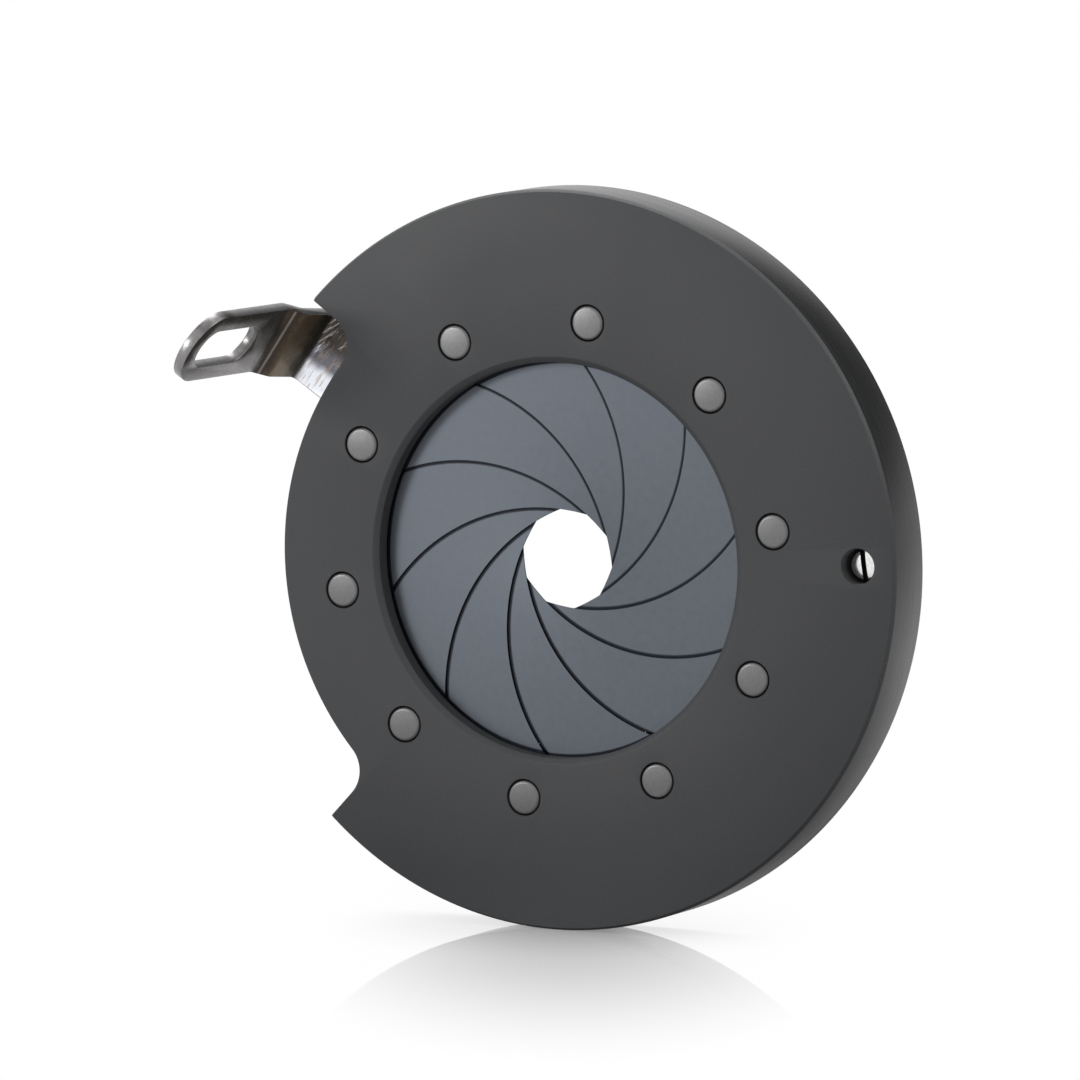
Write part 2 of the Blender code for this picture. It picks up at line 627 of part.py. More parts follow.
def make_rivets(material):
    """Two rivets from the ring's front face to a low domed head on the lever."""
    head_edge = LEVER_REAR + RIVET_CLEARANCE / 2.0
    profile = [
        (0.0, RING_FRONT),
        (RIVET_RADIUS, RING_FRONT),
        (RIVET_RADIUS, head_edge),
    ]
    profile += [(RIVET_HEAD_RADIUS * across, head_edge + RIVET_HEAD_HEIGHT * up)
                for across, up in RIVET_DOME]
    profile.append((0.0, head_edge + RIVET_HEAD_HEIGHT))
    mesh = turned("lever_rivet", profile, SMALL_STEPS)
    mesh.materials.append(material)
    mesh.shade_smooth()
    mesh.set_sharp_from_angle(angle=SMOOTH_ANGLE)
    for number, place in enumerate(rivet_places()):
        frame = bpy.data.objects.new(f"rivet_frame_{number + 1}", None)
        bpy.context.scene.collection.objects.link(frame)
        lever_turned(frame)
        rivet = bpy.data.objects.new(f"lever_rivet_{number + 1}", mesh)
        bpy.context.scene.collection.objects.link(rivet)
        rivet.parent = frame
        rivet.location = place


def make_snap_ring(material):
    """Open ring in the bore's groove, its two ends short of the lever window."""
    outer_radius = BORE_RADIUS + GROOVE_DEPTH - SNAP_RING_GAP
    inner_radius = outer_radius - SNAP_RING_WIDTH
    start = WINDOW_HALF_SPAN + SNAP_END_MARGIN
    end = FULL_TURN - start
    outline = arc_points(outer_radius, start, end, SNAP_STEPS)
    outline += arc_points(inner_radius, end, start, SNAP_STEPS)
    mesh = prism("snap_ring", outline, Vector((0.0, SNAP_FRONT, 0.0)),
                 Vector((0.0, SNAP_RING_THICKNESS, 0.0)))
    ring = add_object("snap_ring", mesh, material)
    middle = (outer_radius + inner_radius) / 2.0
    inset = SNAP_EYE_INSET / middle
    eyes = [cylinder_tool(f"snap_eye_{number}", SNAP_EYE_RADIUS, polar(middle, angle),
                          SNAP_FRONT - CUT_MARGIN, SNAP_REAR + CUT_MARGIN, SMALL_STEPS)
            for number, angle in enumerate((start + inset, end - inset))]
    combine(ring, "DIFFERENCE", *eyes)
    ring.rotation_euler.y = -WINDOW_MIDDLE


def main():
    """Clear the scene and model every piece."""
    for item in list(bpy.data.objects):
        bpy.data.objects.remove(item)
    anodised = finish("black_anodised_aluminium", (0.055, 0.056, 0.058), 0.55, 0.3)
    blued = finish("blued_blade_steel", (0.13, 0.14, 0.165), 0.5, 0.4)
    pin_steel = finish("matt_pin_steel", (0.22, 0.22, 0.22), 0.5, 0.5)
    lever_steel = finish("browned_lever_steel", (0.05, 0.04, 0.035), 0.3, 0.9)
    bright = finish("bright_steel", (0.6, 0.6, 0.62), 0.25, 1.0)
    make_housing(anodised)
    make_screw(bright)
    make_blades(blued, pin_steel)
    make_drive_ring(anodised)
    make_lever(lever_steel)
    make_rivets(bright)
    make_snap_ring(lever_steel)


main()
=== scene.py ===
"""Looks of an iris diaphragm with ten blades, standing on its rim on a pale polished floor.

Every length in the classes below is in millimetres and every angle in degrees, in the frame of
the solids: the optical axis is the Y axis, the front face looks towards -Y, +Z is up. Angles
about the optical axis run counter-clockwise from +X as seen from the front.
"""

import logging
import math
from contextlib import contextmanager
from dataclasses import dataclass
from enum import Enum
from typing import Callable, Iterator, Optional, Sequence, Union

import bpy
from mathutils import Matrix, Vector


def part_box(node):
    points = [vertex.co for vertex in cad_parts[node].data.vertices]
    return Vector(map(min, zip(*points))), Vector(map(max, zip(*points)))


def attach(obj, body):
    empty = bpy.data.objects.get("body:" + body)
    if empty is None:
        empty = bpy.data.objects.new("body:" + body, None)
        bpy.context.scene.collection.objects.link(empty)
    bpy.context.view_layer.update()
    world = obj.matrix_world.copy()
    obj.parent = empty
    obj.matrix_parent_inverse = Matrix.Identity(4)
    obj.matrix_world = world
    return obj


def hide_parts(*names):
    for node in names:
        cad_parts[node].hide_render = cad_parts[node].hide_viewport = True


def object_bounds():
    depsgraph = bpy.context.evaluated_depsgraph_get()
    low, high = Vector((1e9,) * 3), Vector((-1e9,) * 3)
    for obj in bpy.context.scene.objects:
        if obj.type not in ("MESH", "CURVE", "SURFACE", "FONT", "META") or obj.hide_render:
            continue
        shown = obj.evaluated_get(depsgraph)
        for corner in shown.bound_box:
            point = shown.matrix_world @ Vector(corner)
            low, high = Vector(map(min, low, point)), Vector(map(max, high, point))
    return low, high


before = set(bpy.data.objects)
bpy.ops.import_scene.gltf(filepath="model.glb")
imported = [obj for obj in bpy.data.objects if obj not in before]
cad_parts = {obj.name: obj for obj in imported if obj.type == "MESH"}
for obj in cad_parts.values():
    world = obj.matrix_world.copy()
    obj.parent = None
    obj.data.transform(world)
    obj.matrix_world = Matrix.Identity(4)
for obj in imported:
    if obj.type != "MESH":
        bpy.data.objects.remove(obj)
FRAME_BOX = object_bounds()

LOG = logging.getLogger("iris")
MM = 0.001
FULL_TURN = 2.0 * math.pi
PAST = 1.0  # how far a cutter reaches past what it cuts, in millimetres
CORNER_STEPS = 8  # chords in a rounded corner
NOISE_LOW, NOISE_HIGH = 0.3, 0.7  # nearly all of a noise texture lies between these
WHITE = (1.0, 1.0, 1.0, 1.0)
BLADES = 10
Profile = Sequence[tuple[float, float]]


class Closing(Enum):
    """How the mesh made from a profile is closed."""

    RING = "last loop joined to the first"
    SOLID = "both end loops filled"


class Body(Enum):
    """Bodies of the moving model that hold more than one blade's pieces."""

    CUP = "housing"
    RING = "drive_ring"


# Measures and places


def polar(radius: float, angle: float, depth: float = 0.0) -> Vector:
    """Point about the optical axis.

    Args:
        radius: distance from the axis in millimetres.
        angle: angle from +X, counter-clockwise seen from the front, in radians.
        depth: distance behind the front face in millimetres.

    Returns:
        The point in millimetres.
    """
    return Vector((radius * math.cos(angle), depth, radius * math.sin(angle)))


def about_axis(angle: float) -> Matrix:
    """Turn about the optical axis, counter-clockwise seen from the front, in radians."""
    return Matrix.Rotation(-angle, 4, "Y")


def node_depths(node: str) -> tuple[float, float]:
    """Front and rear of a solid.

    Args:
        node: name of the solid.

    Returns:
        Its lowest and highest Y in millimetres.
    """
    low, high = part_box(node)
    return low.y / MM, high.y / MM


def ring_arc(radius: float, start: float, end: float, steps: int) -> list[Vector]:
    """Points of an arc about the optical axis.

    Args:
        radius: radius in millimetres.
        start: first angle in radians.
        end: last angle in radians.
        steps: number of chords.

    Returns:
        The points, ends included, in millimetres.
    """
    return [polar(radius, start + (end - start) * step / steps) for step in range(steps + 1)]


# Modelling


def pick(item: Optional[bpy.types.Object] = None) -> None:
    """Select one object and make it the active one, or select nothing.

    Args:
        item: the object, if any.
    """
    bpy.ops.object.select_all(action="DESELECT")
    if item:
        item.select_set(True)
        bpy.context.view_layer.objects.active = item


@contextmanager
def editing(item: bpy.types.Object) -> Iterator[None]:
    """Edit mode on one object, with nothing else selected.

    Args:
        item: the object to edit.
    """
    pick(item)
    bpy.ops.object.mode_set(mode="EDIT")
    bpy.ops.mesh.select_mode(type="VERT")
    bpy.ops.mesh.select_all(action="SELECT")
    yield
    bpy.ops.object.mode_set(mode="OBJECT")


def settle(item: bpy.types.Object, name: str) -> bpy.types.Object:
    """Name a new object and put its place into its mesh.

    Args:
        item: the object.
        name: its name.

    Returns:
        The same object, at the origin.
    """
    item.name = name
    item.data.name = name
    pick(item)
    bpy.ops.object.transform_apply(location=True, rotation=True, scale=True)
    return item


def new_circle(name: str, vertices: int, radius: float, depth: float) -> bpy.types.Object:
    """Circle of edges about the optical axis.

    Args:
        name: name of the object.
        vertices: number of points.
        radius: radius in millimetres.
        depth: distance behind the front face in millimetres.

    Returns:
        The new object.
    """
    pick()
    bpy.ops.mesh.primitive_circle_add(vertices=vertices, radius=radius * MM,
                                      location=(0.0, depth * MM, 0.0),
                                      rotation=(math.pi / 2.0, 0.0, 0.0))
    return settle(bpy.context.active_object, name)


def lathe(name: str, profile: Profile, steps: int, closing: Closing) -> bpy.types.Object:
    """Turned piece: a circle extruded and resized from point to point of a profile.

    Args:
        name: name of the object.
        profile: (radius, depth) points in millimetres.
        steps: number of facets round the axis.
        closing: how the ends are closed.

    Returns:
        The closed piece.
    """
    item = new_circle(name, steps, *profile[0])
    with editing(item):
        for (radius, depth), (next_radius, next_depth) in zip(profile, profile[1:]):
            bpy.ops.mesh.extrude_region()
            bpy.ops.transform.translate(value=(0.0, (next_depth - depth) * MM, 0.0))
            share = next_radius / radius
            bpy.ops.transform.resize(value=(share, 1.0, share), center_override=(0.0, 0.0, 0.0))
        bpy.ops.mesh.select_all(action="DESELECT")
        bpy.ops.mesh.select_non_manifold()
        if closing is Closing.RING:
            bpy.ops.mesh.bridge_edge_loops()
        else:
            bpy.ops.mesh.fill_holes(sides=0)
        bpy.ops.mesh.select_all(action="SELECT")
        bpy.ops.mesh.normals_make_consistent(inside=False)
    return item


def block(name: str, outline: Sequence[Vector], front: float, rear: float) -> bpy.types.Object:
    """Plate cut to an outline: a filled circle of points set to the outline, then extruded.

    Args:
        name: name of the object.
        outline: points in millimetres; their depth is left out.
        front: depth of the front face in millimetres.
        rear: depth of the rear face in millimetres.

    Returns:
        The closed piece.
    """
    item = new_circle(name, len(outline), 1.0, front)
    for vertex, point in zip(item.data.vertices, outline):
        vertex.co = Vector((point.x, front, point.z)) * MM
    with editing(item):
        bpy.ops.mesh.edge_face_add()
        bpy.ops.mesh.extrude_region()
        bpy.ops.transform.translate(value=(0.0, (rear - front) * MM, 0.0))
        bpy.ops.mesh.select_all(action="SELECT")
        bpy.ops.mesh.normals_make_consistent(inside=False)
    return item


def rounded(corners: Sequence[Vector], roundings: Sequence[float]) -> list[Vector]:
    """Closed outline with its corners rounded.

    Args:
        corners: the corners, in one plane, in millimetres.
        roundings: radius of each corner in millimetres, or 0.

    Returns:
        The outline's points in millimetres.
    """
    points = []
    for place, (point, radius) in enumerate(zip(corners, roundings)):
        if radius == 0.0:
            points.append(point)
            continue
        before = (corners[place - 1] - point).normalized()
        after = (corners[(place + 1) % len(corners)] - point).normalized()
        half = before.angle(after) / 2.0
        centre = point + (before + after).normalized() * radius / math.sin(half)
        first = point + before * radius / math.tan(half) - centre
        last = point + after * radius / math.tan(half) - centre
        for step in range(CORNER_STEPS + 1):
            points.append(centre + first.lerp(last, step / CORNER_STEPS).normalized() * radius)
    return points


def sheet_strip(name: str, across: int, along: int, thickness: Vector,
                place: Callable[[float, float], Vector]) -> bpy.types.Object:
    """Strip of sheet: a grid laid along a path, then extruded to its thickness.

    Args:
        name: name of the object.
        across: number of faces across the strip.
        along: number of faces along it.
        thickness: direction and length of the extrusion in millimetres, or nothing.
        place: gives the point, in millimetres, for two shares: across and along.

    Returns:
        The strip; its UV map holds the two shares.
    """
    pick()
    bpy.ops.mesh.primitive_grid_add(x_subdivisions=across, y_subdivisions=along, size=1.0)
    item = settle(bpy.context.active_object, name)
    for vertex in item.data.vertices:
        vertex.co = place(vertex.co.x + 0.5, vertex.co.y + 0.5) * MM
    if thickness.length > 0.0:
        with editing(item):
            bpy.ops.mesh.extrude_region()
            bpy.ops.transform.translate(value=thickness * MM)
            bpy.ops.mesh.select_all(action="SELECT")
            bpy.ops.mesh.normals_make_consistent(inside=False)
    return item


def drill(name: str, radius: float, chamfer: float, rear: float) -> bpy.types.Object:
    """Round cutter with a cone that breaks the edge of the hole in the plane of depth 0.

    Args:
        name: name of the object.
        radius: radius of the hole in millimetres.
        chamfer: width of the broken edge in millimetres.
        rear: depth of the cutter's rear in millimetres.

    Returns:
        The cutter, on the optical axis.
    """
    return lathe(name, [(radius + chamfer + PAST, -PAST), (radius, chamfer), (radius, rear)],
                 64, Closing.SOLID)


def apply_modifier(item: bpy.types.Object, kind: str, **settings: object) -> None:
    """Add a modifier and apply it.

    Args:
        item: the object.
        kind: the modifier's type.
        **settings: the modifier's settings.
    """
    pick(item)
    modifier = item.modifiers.new(kind.lower(), kind)
    for setting, value in settings.items():
        setattr(modifier, setting, value)
    bpy.ops.object.modifier_apply(modifier=modifier.name)


def round_edges(item: bpy.types.Object, width: float, limit: float) -> None:
    """Round the sharp edges of a piece.

    Args:
        item: the piece.
        width: width of the rounding in millimetres.
        limit: only edges sharper than this angle in degrees.
    """
    apply_modifier(item, "BEVEL", width=width * MM, segments=2, limit_method="ANGLE",
                   angle_limit=math.radians(limit), miter_outer="MITER_ARC")


def combine(item: bpy.types.Object, tools: Sequence[bpy.types.Object],
            operation: str = "DIFFERENCE") -> None:
    """Cut a piece with solid tools, or keep what is inside them, and remove the tools.

    Args:
        item: the piece.
        tools: the solid tools.
        operation: DIFFERENCE or INTERSECT.
    """
    for tool in tools:
        apply_modifier(item, "BOOLEAN", operation=operation, solver="EXACT", object=tool)
        bpy.data.objects.remove(tool)


def smooth(item: bpy.types.Object, angle: float = 28.0) -> None:
    """Shade a piece smooth, apart from its sharp edges.

    Args:
        item: the piece.
        angle: edges sharper than this angle in degrees stay sharp.
    """
    pick(item)
    bpy.ops.object.shade_smooth_by_angle(angle=math.radians(angle))


def copy_of(item: bpy.types.Object, name: str, place: Matrix) -> bpy.types.Object:
    """Copy a piece with its own mesh, moved within the mesh.

    Args:
        item: the piece to copy.
        name: name of the copy.
        place: the move, in metres.

    Returns:
        The copy.
    """
    mesh = item.data.copy()
    mesh.name = name
    mesh.transform(place)
    copied = bpy.data.objects.new(name, mesh)
    bpy.context.scene.collection.objects.link(copied)
    return copied


def dress(item: bpy.types.Object, body: str, nodes: Sequence[str], slot: str,
          *materials: bpy.types.Material) -> None:
    """Give a piece its finishes, its body and the solids that it stands for.

    Args:
        item: the piece.
        body: name of the body that it moves with.
        nodes: solids that it stands for.
        slot: material slot of the record; not used.
        *materials: finishes, in the order of the piece's material slots.
    """
    item.data.materials.clear()
    for material in materials:
        item.data.materials.append(material)
    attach(item, body)
    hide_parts(*nodes)
    LOG.info("%s rides on %s, %d faces", item.name, body, len(item.data.polygons))


# Finishes


def srgb(colour: str) -> tuple[float, float, float, float]:
    """Linear colour from a written sRGB one.

    Args:
        colour: six hex digits after a hash.

    Returns:
        Red, green, blue and one.
    """
    def linear(value: float) -> float:
        """One channel, from 0 to 1."""
        return value / 12.92 if value <= 0.04045 else ((value + 0.055) / 1.055) ** 2.4

    channels = [int(colour[place:place + 2], 16) / 255.0 for place in (1, 3, 5)]
    return (*(linear(channel) for channel in channels), 1.0)


def per_size(size: float) -> float:
    """Scale of a pattern on Object coordinates whose grain has a size in millimetres."""
    return 1.0 / (size * MM)


def add_node(tree: bpy.types.NodeTree, kind: str, inputs: Optional[dict] = None,
             output: Union[int, str] = 0, **settings: object) -> bpy.types.NodeSocket:
    """Add a shader node with its settings, values and links.

    Args:
        tree: the node tree.
        kind: the node's type.
        inputs: value or linked output socket for each input, by name or place.
        output: the output wanted, by name or place.
        **settings: the node's own settings.

    Returns:
        The output's socket.
    """
    node = tree.nodes.new(kind)
    for setting, value in settings.items():
        setattr(node, setting, value)
    for socket, value in (inputs or {}).items():
        if isinstance(value, bpy.types.NodeSocket):
            tree.links.new(value, node.inputs[socket])
        else:
            node.inputs[socket].default_value = value
    return node.outputs[output] if len(node.outputs) else None


@dataclass(frozen=True)
class Finish:
    """A surface: its name, colours and the shader's plain values."""

    name: str
    colour: str
    metallic: float
    roughness: float

    def start(self) -> tuple[bpy.types.Material, bpy.types.NodeTree, bpy.types.Node,
                             bpy.types.NodeSocket]:
        """Start the material.

        Returns:
            The material, its tree, its Principled shader and its Object coordinates.
        """
        material = bpy.data.materials.new(self.name)
        material.use_nodes = True
        tree = material.node_tree
        shader = tree.nodes["Principled BSDF"]
        shader.inputs["Base Color"].default_value = srgb(self.colour)
        shader.inputs["Metallic"].default_value = self.metallic
        shader.inputs["Roughness"].default_value = self.roughness
        place = add_node(tree, "ShaderNodeTexCoord", output="Object")
        return material, tree, shader, place


@dataclass(frozen=True)
class BlackAnodised(Finish):
    """Aluminium, bead-blasted then anodised black: an even matt dark grey with a fine grain."""

    name: str = "black anodised aluminium, bead-blasted"
    colour: str = "#3d3e40"
    metallic: float = 0.0
    roughness: float = 0.55
    light: str = "#505154"
    grain: float = 0.16
    patch: float = 9.0

    def material(self) -> bpy.types.Material:
        """Build the material.

        Returns:
            The material.
        """
        material, tree, shader, place = self.start()
        # The dye takes a little unevenly
        patches = add_node(tree, "ShaderNodeTexNoise", {
            "Vector": place, "Scale": per_size(self.patch), "Detail": 3.0})
        uneven = add_node(tree, "ShaderNodeMapRange", {
            0: patches, 1: NOISE_LOW, 2: NOISE_HIGH, 3: 0.94, 4: 1.06})
        # The blasted grain, drawn twice as coarse as it is so that it shows
        specks = add_node(tree, "ShaderNodeTexNoise", {
            "Vector": place, "Scale": per_size(self.grain), "Detail": 1.0})
        pale = add_node(tree, "ShaderNodeMapRange", {
            0: specks, 1: 0.56, 2: 0.78, 3: 0.0, 4: 0.35})
        toned = add_node(tree, "ShaderNodeMix", {
            0: pale, 6: srgb(self.colour), 7: srgb(self.light)}, 2, data_type="RGBA")
        colour = add_node(tree, "ShaderNodeHueSaturation", {"Color": toned, "Value": uneven})
        tree.links.new(colour, shader.inputs["Base Color"])
        tree.links.new(add_node(tree, "ShaderNodeMapRange", {
            0: patches, 1: NOISE_LOW, 2: NOISE_HIGH,
            3: self.roughness - 0.03, 4: self.roughness + 0.04}), shader.inputs["Roughness"])
        tree.links.new(add_node(tree, "ShaderNodeBump", {
            "Height": specks, "Distance": 0.012 * MM, "Strength": 0.3}),
            shader.inputs["Normal"])
        return material


@dataclass(frozen=True)
class TurnedAnodised(Finish):
    """The same black anodising on a rim left as turned: fine tool lines round it, more sheen."""

    name: str = "black anodised aluminium, turned"
    colour: str = "#282829"
    metallic: float = 0.0
    roughness: float = 0.28
    light: str = "#2f3030"
    line: float = 0.09

    def material(self) -> bpy.types.Material:
        """Build the material.

        Returns:
            The material.
        """
        material, tree, shader, place = self.start()
        # Long grain round the rim, so that only the depth sets the lines
        stretched = add_node(tree, "ShaderNodeMapping", {
            "Vector": place, "Scale": (per_size(self.line * 60.0), per_size(self.line),
                                       per_size(self.line * 60.0))})
        lines = add_node(tree, "ShaderNodeTexNoise", {
            "Vector": stretched, "Scale": 1.0, "Detail": 1.0})
        colour = add_node(tree, "ShaderNodeMix", {
            0: lines, 6: srgb(self.colour), 7: srgb(self.light)}, 2, data_type="RGBA")
        tree.links.new(colour, shader.inputs["Base Color"])
        tree.links.new(add_node(tree, "ShaderNodeMapRange", {
            0: lines, 1: NOISE_LOW, 2: NOISE_HIGH,
            3: self.roughness - 0.04, 4: self.roughness + 0.06}), shader.inputs["Roughness"])
        tree.links.new(add_node(tree, "ShaderNodeBump", {
            "Height": lines, "Distance": 0.004 * MM, "Strength": 0.25}),
            shader.inputs["Normal"])
        return material


@dataclass(frozen=True)
class BluedBlade(Finish):
    """Spring steel sheet, rolled and chemically blued: satin blue-grey, black where it is cut, with
    a painted shade line beside each blade that lies over it.
    """

    name: str = "blued spring steel sheet"
    colour: str = "#5a5f66"
    metallic: float = 0.85
    roughness: float = 0.42
    light: str = "#60656c"
    # Colour of the black cut edge and of the painted shade line
    black: str = "#191d23"
    mottle: float = 0.5
    shadow_width: float = 0.28

    def material(self) -> bpy.types.Material:
        """Build the material.

        Returns:
            The material.
        """
        material, tree, shader, place = self.start()
        # Faint mottling from the bluing bath, over the finer grain of the rolled sheet
        mottle = add_node(tree, "ShaderNodeTexNoise", {
            "Vector": place, "Scale": per_size(self.mottle), "Detail": 5.0, "Roughness": 0.65})
        share = add_node(tree, "ShaderNodeMapRange", {0: mottle, 1: NOISE_LOW, 2: NOISE_HIGH})
        toned = add_node(tree, "ShaderNodeMix", {
            0: share, 6: srgb(self.colour), 7: srgb(self.light)}, 2, data_type="RGBA")
        # Painted shade: an ambient-occlusion mask darkens the colour in a thin line next to a blade
        # that lies over it
        painted_occlusion = add_node(tree, "ShaderNodeAmbientOcclusion", {
            "Distance": self.shadow_width * MM}, "AO", samples=32)
        line = add_node(tree, "ShaderNodeMapRange", {
            0: painted_occlusion, 1: 0.94, 2: 0.99, 3: 1.0, 4: 0.0})
        # The cut edge is black: across the strip, its wall is at the very start and end
        uv = add_node(tree, "ShaderNodeTexCoord", output="UV")
        across = add_node(tree, "ShaderNodeSeparateXYZ", {0: uv})
        wall = add_node(tree, "ShaderNodeMapRange", {0: across, 1: 0.0, 2: 0.004, 3: 1.0, 4: 0.0})
        dark = add_node(tree, "ShaderNodeMath", {0: line, 1: wall}, operation="MAXIMUM")
        colour = add_node(tree, "ShaderNodeMix", {
            0: dark, 6: toned, 7: srgb(self.black)}, 2, data_type="RGBA")
        tree.links.new(colour, shader.inputs["Base Color"])
        tree.links.new(add_node(tree, "ShaderNodeMapRange", {
            0: mottle, 1: NOISE_LOW, 2: NOISE_HIGH,
            3: self.roughness - 0.04, 4: self.roughness + 0.05}), shader.inputs["Roughness"])
        tree.links.new(add_node(tree, "ShaderNodeBump", {
            "Height": mottle, "Distance": 0.005 * MM, "Strength": 0.15}),
            shader.inputs["Normal"])
        return material


@dataclass(frozen=True)
class Grained(Finish):
    """A surface whose colour, and sheen or relief, follow one fine grain."""

    light: str = ""
    grain: float = 0.2
    detail: float = 2.0
    tones: tuple[float, float] = (NOISE_LOW, NOISE_HIGH)
    sheen: float = 0.0
    relief: float = 0.0

    def material(self) -> bpy.types.Material:
        """Build the material.

        Returns:
            The material.
        """
        material, tree, shader, place = self.start()
        marks = add_node(tree, "ShaderNodeTexNoise", {
            "Vector": place, "Scale": per_size(self.grain), "Detail": self.detail})
        share = add_node(tree, "ShaderNodeMapRange", {
            0: marks, 1: self.tones[0], 2: self.tones[1]})
        colour = add_node(tree, "ShaderNodeMix", {
            0: share, 6: srgb(self.colour), 7: srgb(self.light)}, 2, data_type="RGBA")
        tree.links.new(colour, shader.inputs["Base Color"])
        if self.sheen > 0.0:
            tree.links.new(add_node(tree, "ShaderNodeMapRange", {
                0: marks, 1: NOISE_LOW, 2: NOISE_HIGH,
                3: self.roughness, 4: self.roughness + self.sheen}), shader.inputs["Roughness"])
        if self.relief > 0.0:
            tree.links.new(add_node(tree, "ShaderNodeBump", {
                "Height": marks, "Distance": self.relief * MM, "Strength": 0.2}),
                shader.inputs["Normal"])
        return material


@dataclass(frozen=True)
class TumbledPin(Grained):
    """Steel pin, turned and tumbled: plain grey with a soft sheen on its rounded edge."""

    name: str = "tumbled steel pin"
    colour: str = "#707070"
    metallic: float = 0.6
    roughness: float = 0.34
    light: str = "#777777"
    grain: float = 0.25
    detail: float = 3.0
    relief: float = 0.006


@dataclass(frozen=True)
class BrightSteel(Grained):
    """Plain steel, turned bright: screw and rivets."""

    name: str = "bright turned steel"
    colour: str = "#dcdddb"
    metallic: float = 1.0
    roughness: float = 0.14
    light: str = "#efefed"
    sheen: float = 0.08


@dataclass(frozen=True)
class PaintedSlotShade(Grained):
    """Saw cut in the screw and the end's chamfer, painted black: painted shade in the recess."""

    name: str = "painted shade in saw cut"
    colour: str = "#1b1b1c"
    metallic: float = 0.3
    roughness: float = 0.5
    light: str = "#2d2d2e"
    grain: float = 0.15
    tones: tuple[float, float] = (0.0, 1.0)


@dataclass(frozen=True)
class TemperedLever(Finish):
    """Spring steel tempered in oil: dark tab greyed below by a painted reflection, streaked brown
    neck, painted dark reflection in the bend, painted highlight on the crease, rubbed foot whose
    white is partly a painted reflection.
    """

    name: str = "oil-tempered spring steel"
    colour: str = "#75675c"
    metallic: float = 0.35
    roughness: float = 0.27
    tab_dark: str = "#524e49"
    # Painted reflection: the tab's lower part lighter grey
    tab_reflection_grey: str = "#aeabab"
    neck_brown: str = "#93806a"
    streak_tan: str = "#ad9678"
    # Painted dark reflection in the bend
    bend_dark_reflection: str = "#59554a"
    foot_brown: str = "#4b4541"
    foot_grey: str = "#73727a"
    # Rubbed bare steel, with a painted reflection in the white of the foot's lower side
    foot_white_wear_and_reflection: str = "#f4f7ff"
    foot_metallic: float = 0.9
    # Painted highlight along the crease
    crease: str = "#e0dad0"
    lever_angle: float = 145.994
    tab_end: float = -1.05
    neck_start: float = -0.1
    bend_start: float = 2.1
    foot_depth: float = 3.15
    crease_depth: float = -0.6
    # Angle in degrees, colour, and the noise above which a scratch shows
    scratches: tuple[tuple[float, str, float], ...] = (
        (4.0, "#ad9678", 0.56), (24.0, "#f4f7ff", 0.6), (31.0, "#59554a", 0.66))

    def material(self) -> bpy.types.Material:
        """Build the material.

        Returns:
            The material.
        """
        material, tree, shader, place = self.start()
        # Turned so that X runs along the lever's radius and Z across the strip, down it
        turned = add_node(tree, "ShaderNodeMapping", {
            "Vector": place, "Rotation": (0.0, math.radians(self.lever_angle), 0.0)})
        across = add_node(tree, "ShaderNodeSeparateXYZ", {0: turned}, 2)
        depth = across.node.outputs[1]
        cloud = add_node(tree, "ShaderNodeTexNoise", {
            "Vector": turned, "Scale": per_size(1.3), "Detail": 4.0})
        wander = add_node(tree, "ShaderNodeMapRange", {
            0: cloud, 1: NOISE_LOW, 2: NOISE_HIGH, 3: -0.25 * MM, 4: 0.25 * MM})
        uneven = add_node(tree, "ShaderNodeMath", {0: depth, 1: wander})
        below = add_node(tree, "ShaderNodeMath", {0: across, 1: wander})
        # Temper colours, with a painted reflection greying the tab's lower part and a painted dark
        # reflection in the bend, each laid over the last from some place on, in millimetres
        colour, foot = srgb(self.tab_dark), srgb(self.foot_brown)
        for value, over, start, end in (
                (below, self.tab_reflection_grey, 0.6, 1.5),
                (uneven, self.colour, self.tab_end - 0.2, self.tab_end + 0.1),
                (uneven, self.neck_brown, self.neck_start - 0.3, self.neck_start + 0.4),
                (uneven, self.bend_dark_reflection, self.bend_start - 0.5, self.bend_start + 0.3)):
            share = add_node(tree, "ShaderNodeMapRange", {0: value, 1: start * MM, 2: end * MM},
                             interpolation_type="SMOOTHSTEP")
            colour = add_node(tree, "ShaderNodeMix", {0: share, 6: colour, 7: srgb(over)}, 2,
                              data_type="RGBA")
        # The foot greys, then whitens towards its lower side: rubbed bare steel, with a painted
        # reflection in the white
        for over, start, end in ((self.foot_grey, -1.0, 0.2), (self.foot_white_wear_and_reflection, 0.5, 1.4)):
            share = add_node(tree, "ShaderNodeMapRange", {0: below, 1: start * MM, 2: end * MM},
                             interpolation_type="SMOOTHSTEP")
            foot = add_node(tree, "ShaderNodeMix", {0: share, 6: foot, 7: srgb(over)}, 2,
                            data_type="RGBA")
        # Tan and blue-white scratches on the foot, across it and aslant
        for angle, over, least in self.scratches:
            aslant = add_node(tree, "ShaderNodeMapping", {
                "Vector": turned, "Rotation": (0.0, math.radians(angle), 0.0),
                "Scale": (0.16 * MM, 0.6 * MM, 1.5 * MM)}, vector_type="TEXTURE")
            scratch = add_node(tree, "ShaderNodeTexNoise", {
                "Vector": aslant, "Scale": 1.0, "Detail": 4.0, "Roughness": 0.6})
            share = add_node(tree, "ShaderNodeMapRange", {
                0: scratch, 1: least, 2: least + 0.08, 3: 0.0, 4: 0.6})
            foot = add_node(tree, "ShaderNodeMix", {0: share, 6: foot, 7: srgb(over)}, 2,
                            data_type="RGBA")
        on_foot = add_node(tree, "ShaderNodeMapRange", {
            0: depth, 1: (self.foot_depth - 0.15) * MM, 2: self.foot_depth * MM},
            interpolation_type="SMOOTHSTEP")
        colour = add_node(tree, "ShaderNodeMix", {0: on_foot, 6: colour, 7: foot}, 2,
                          data_type="RGBA")
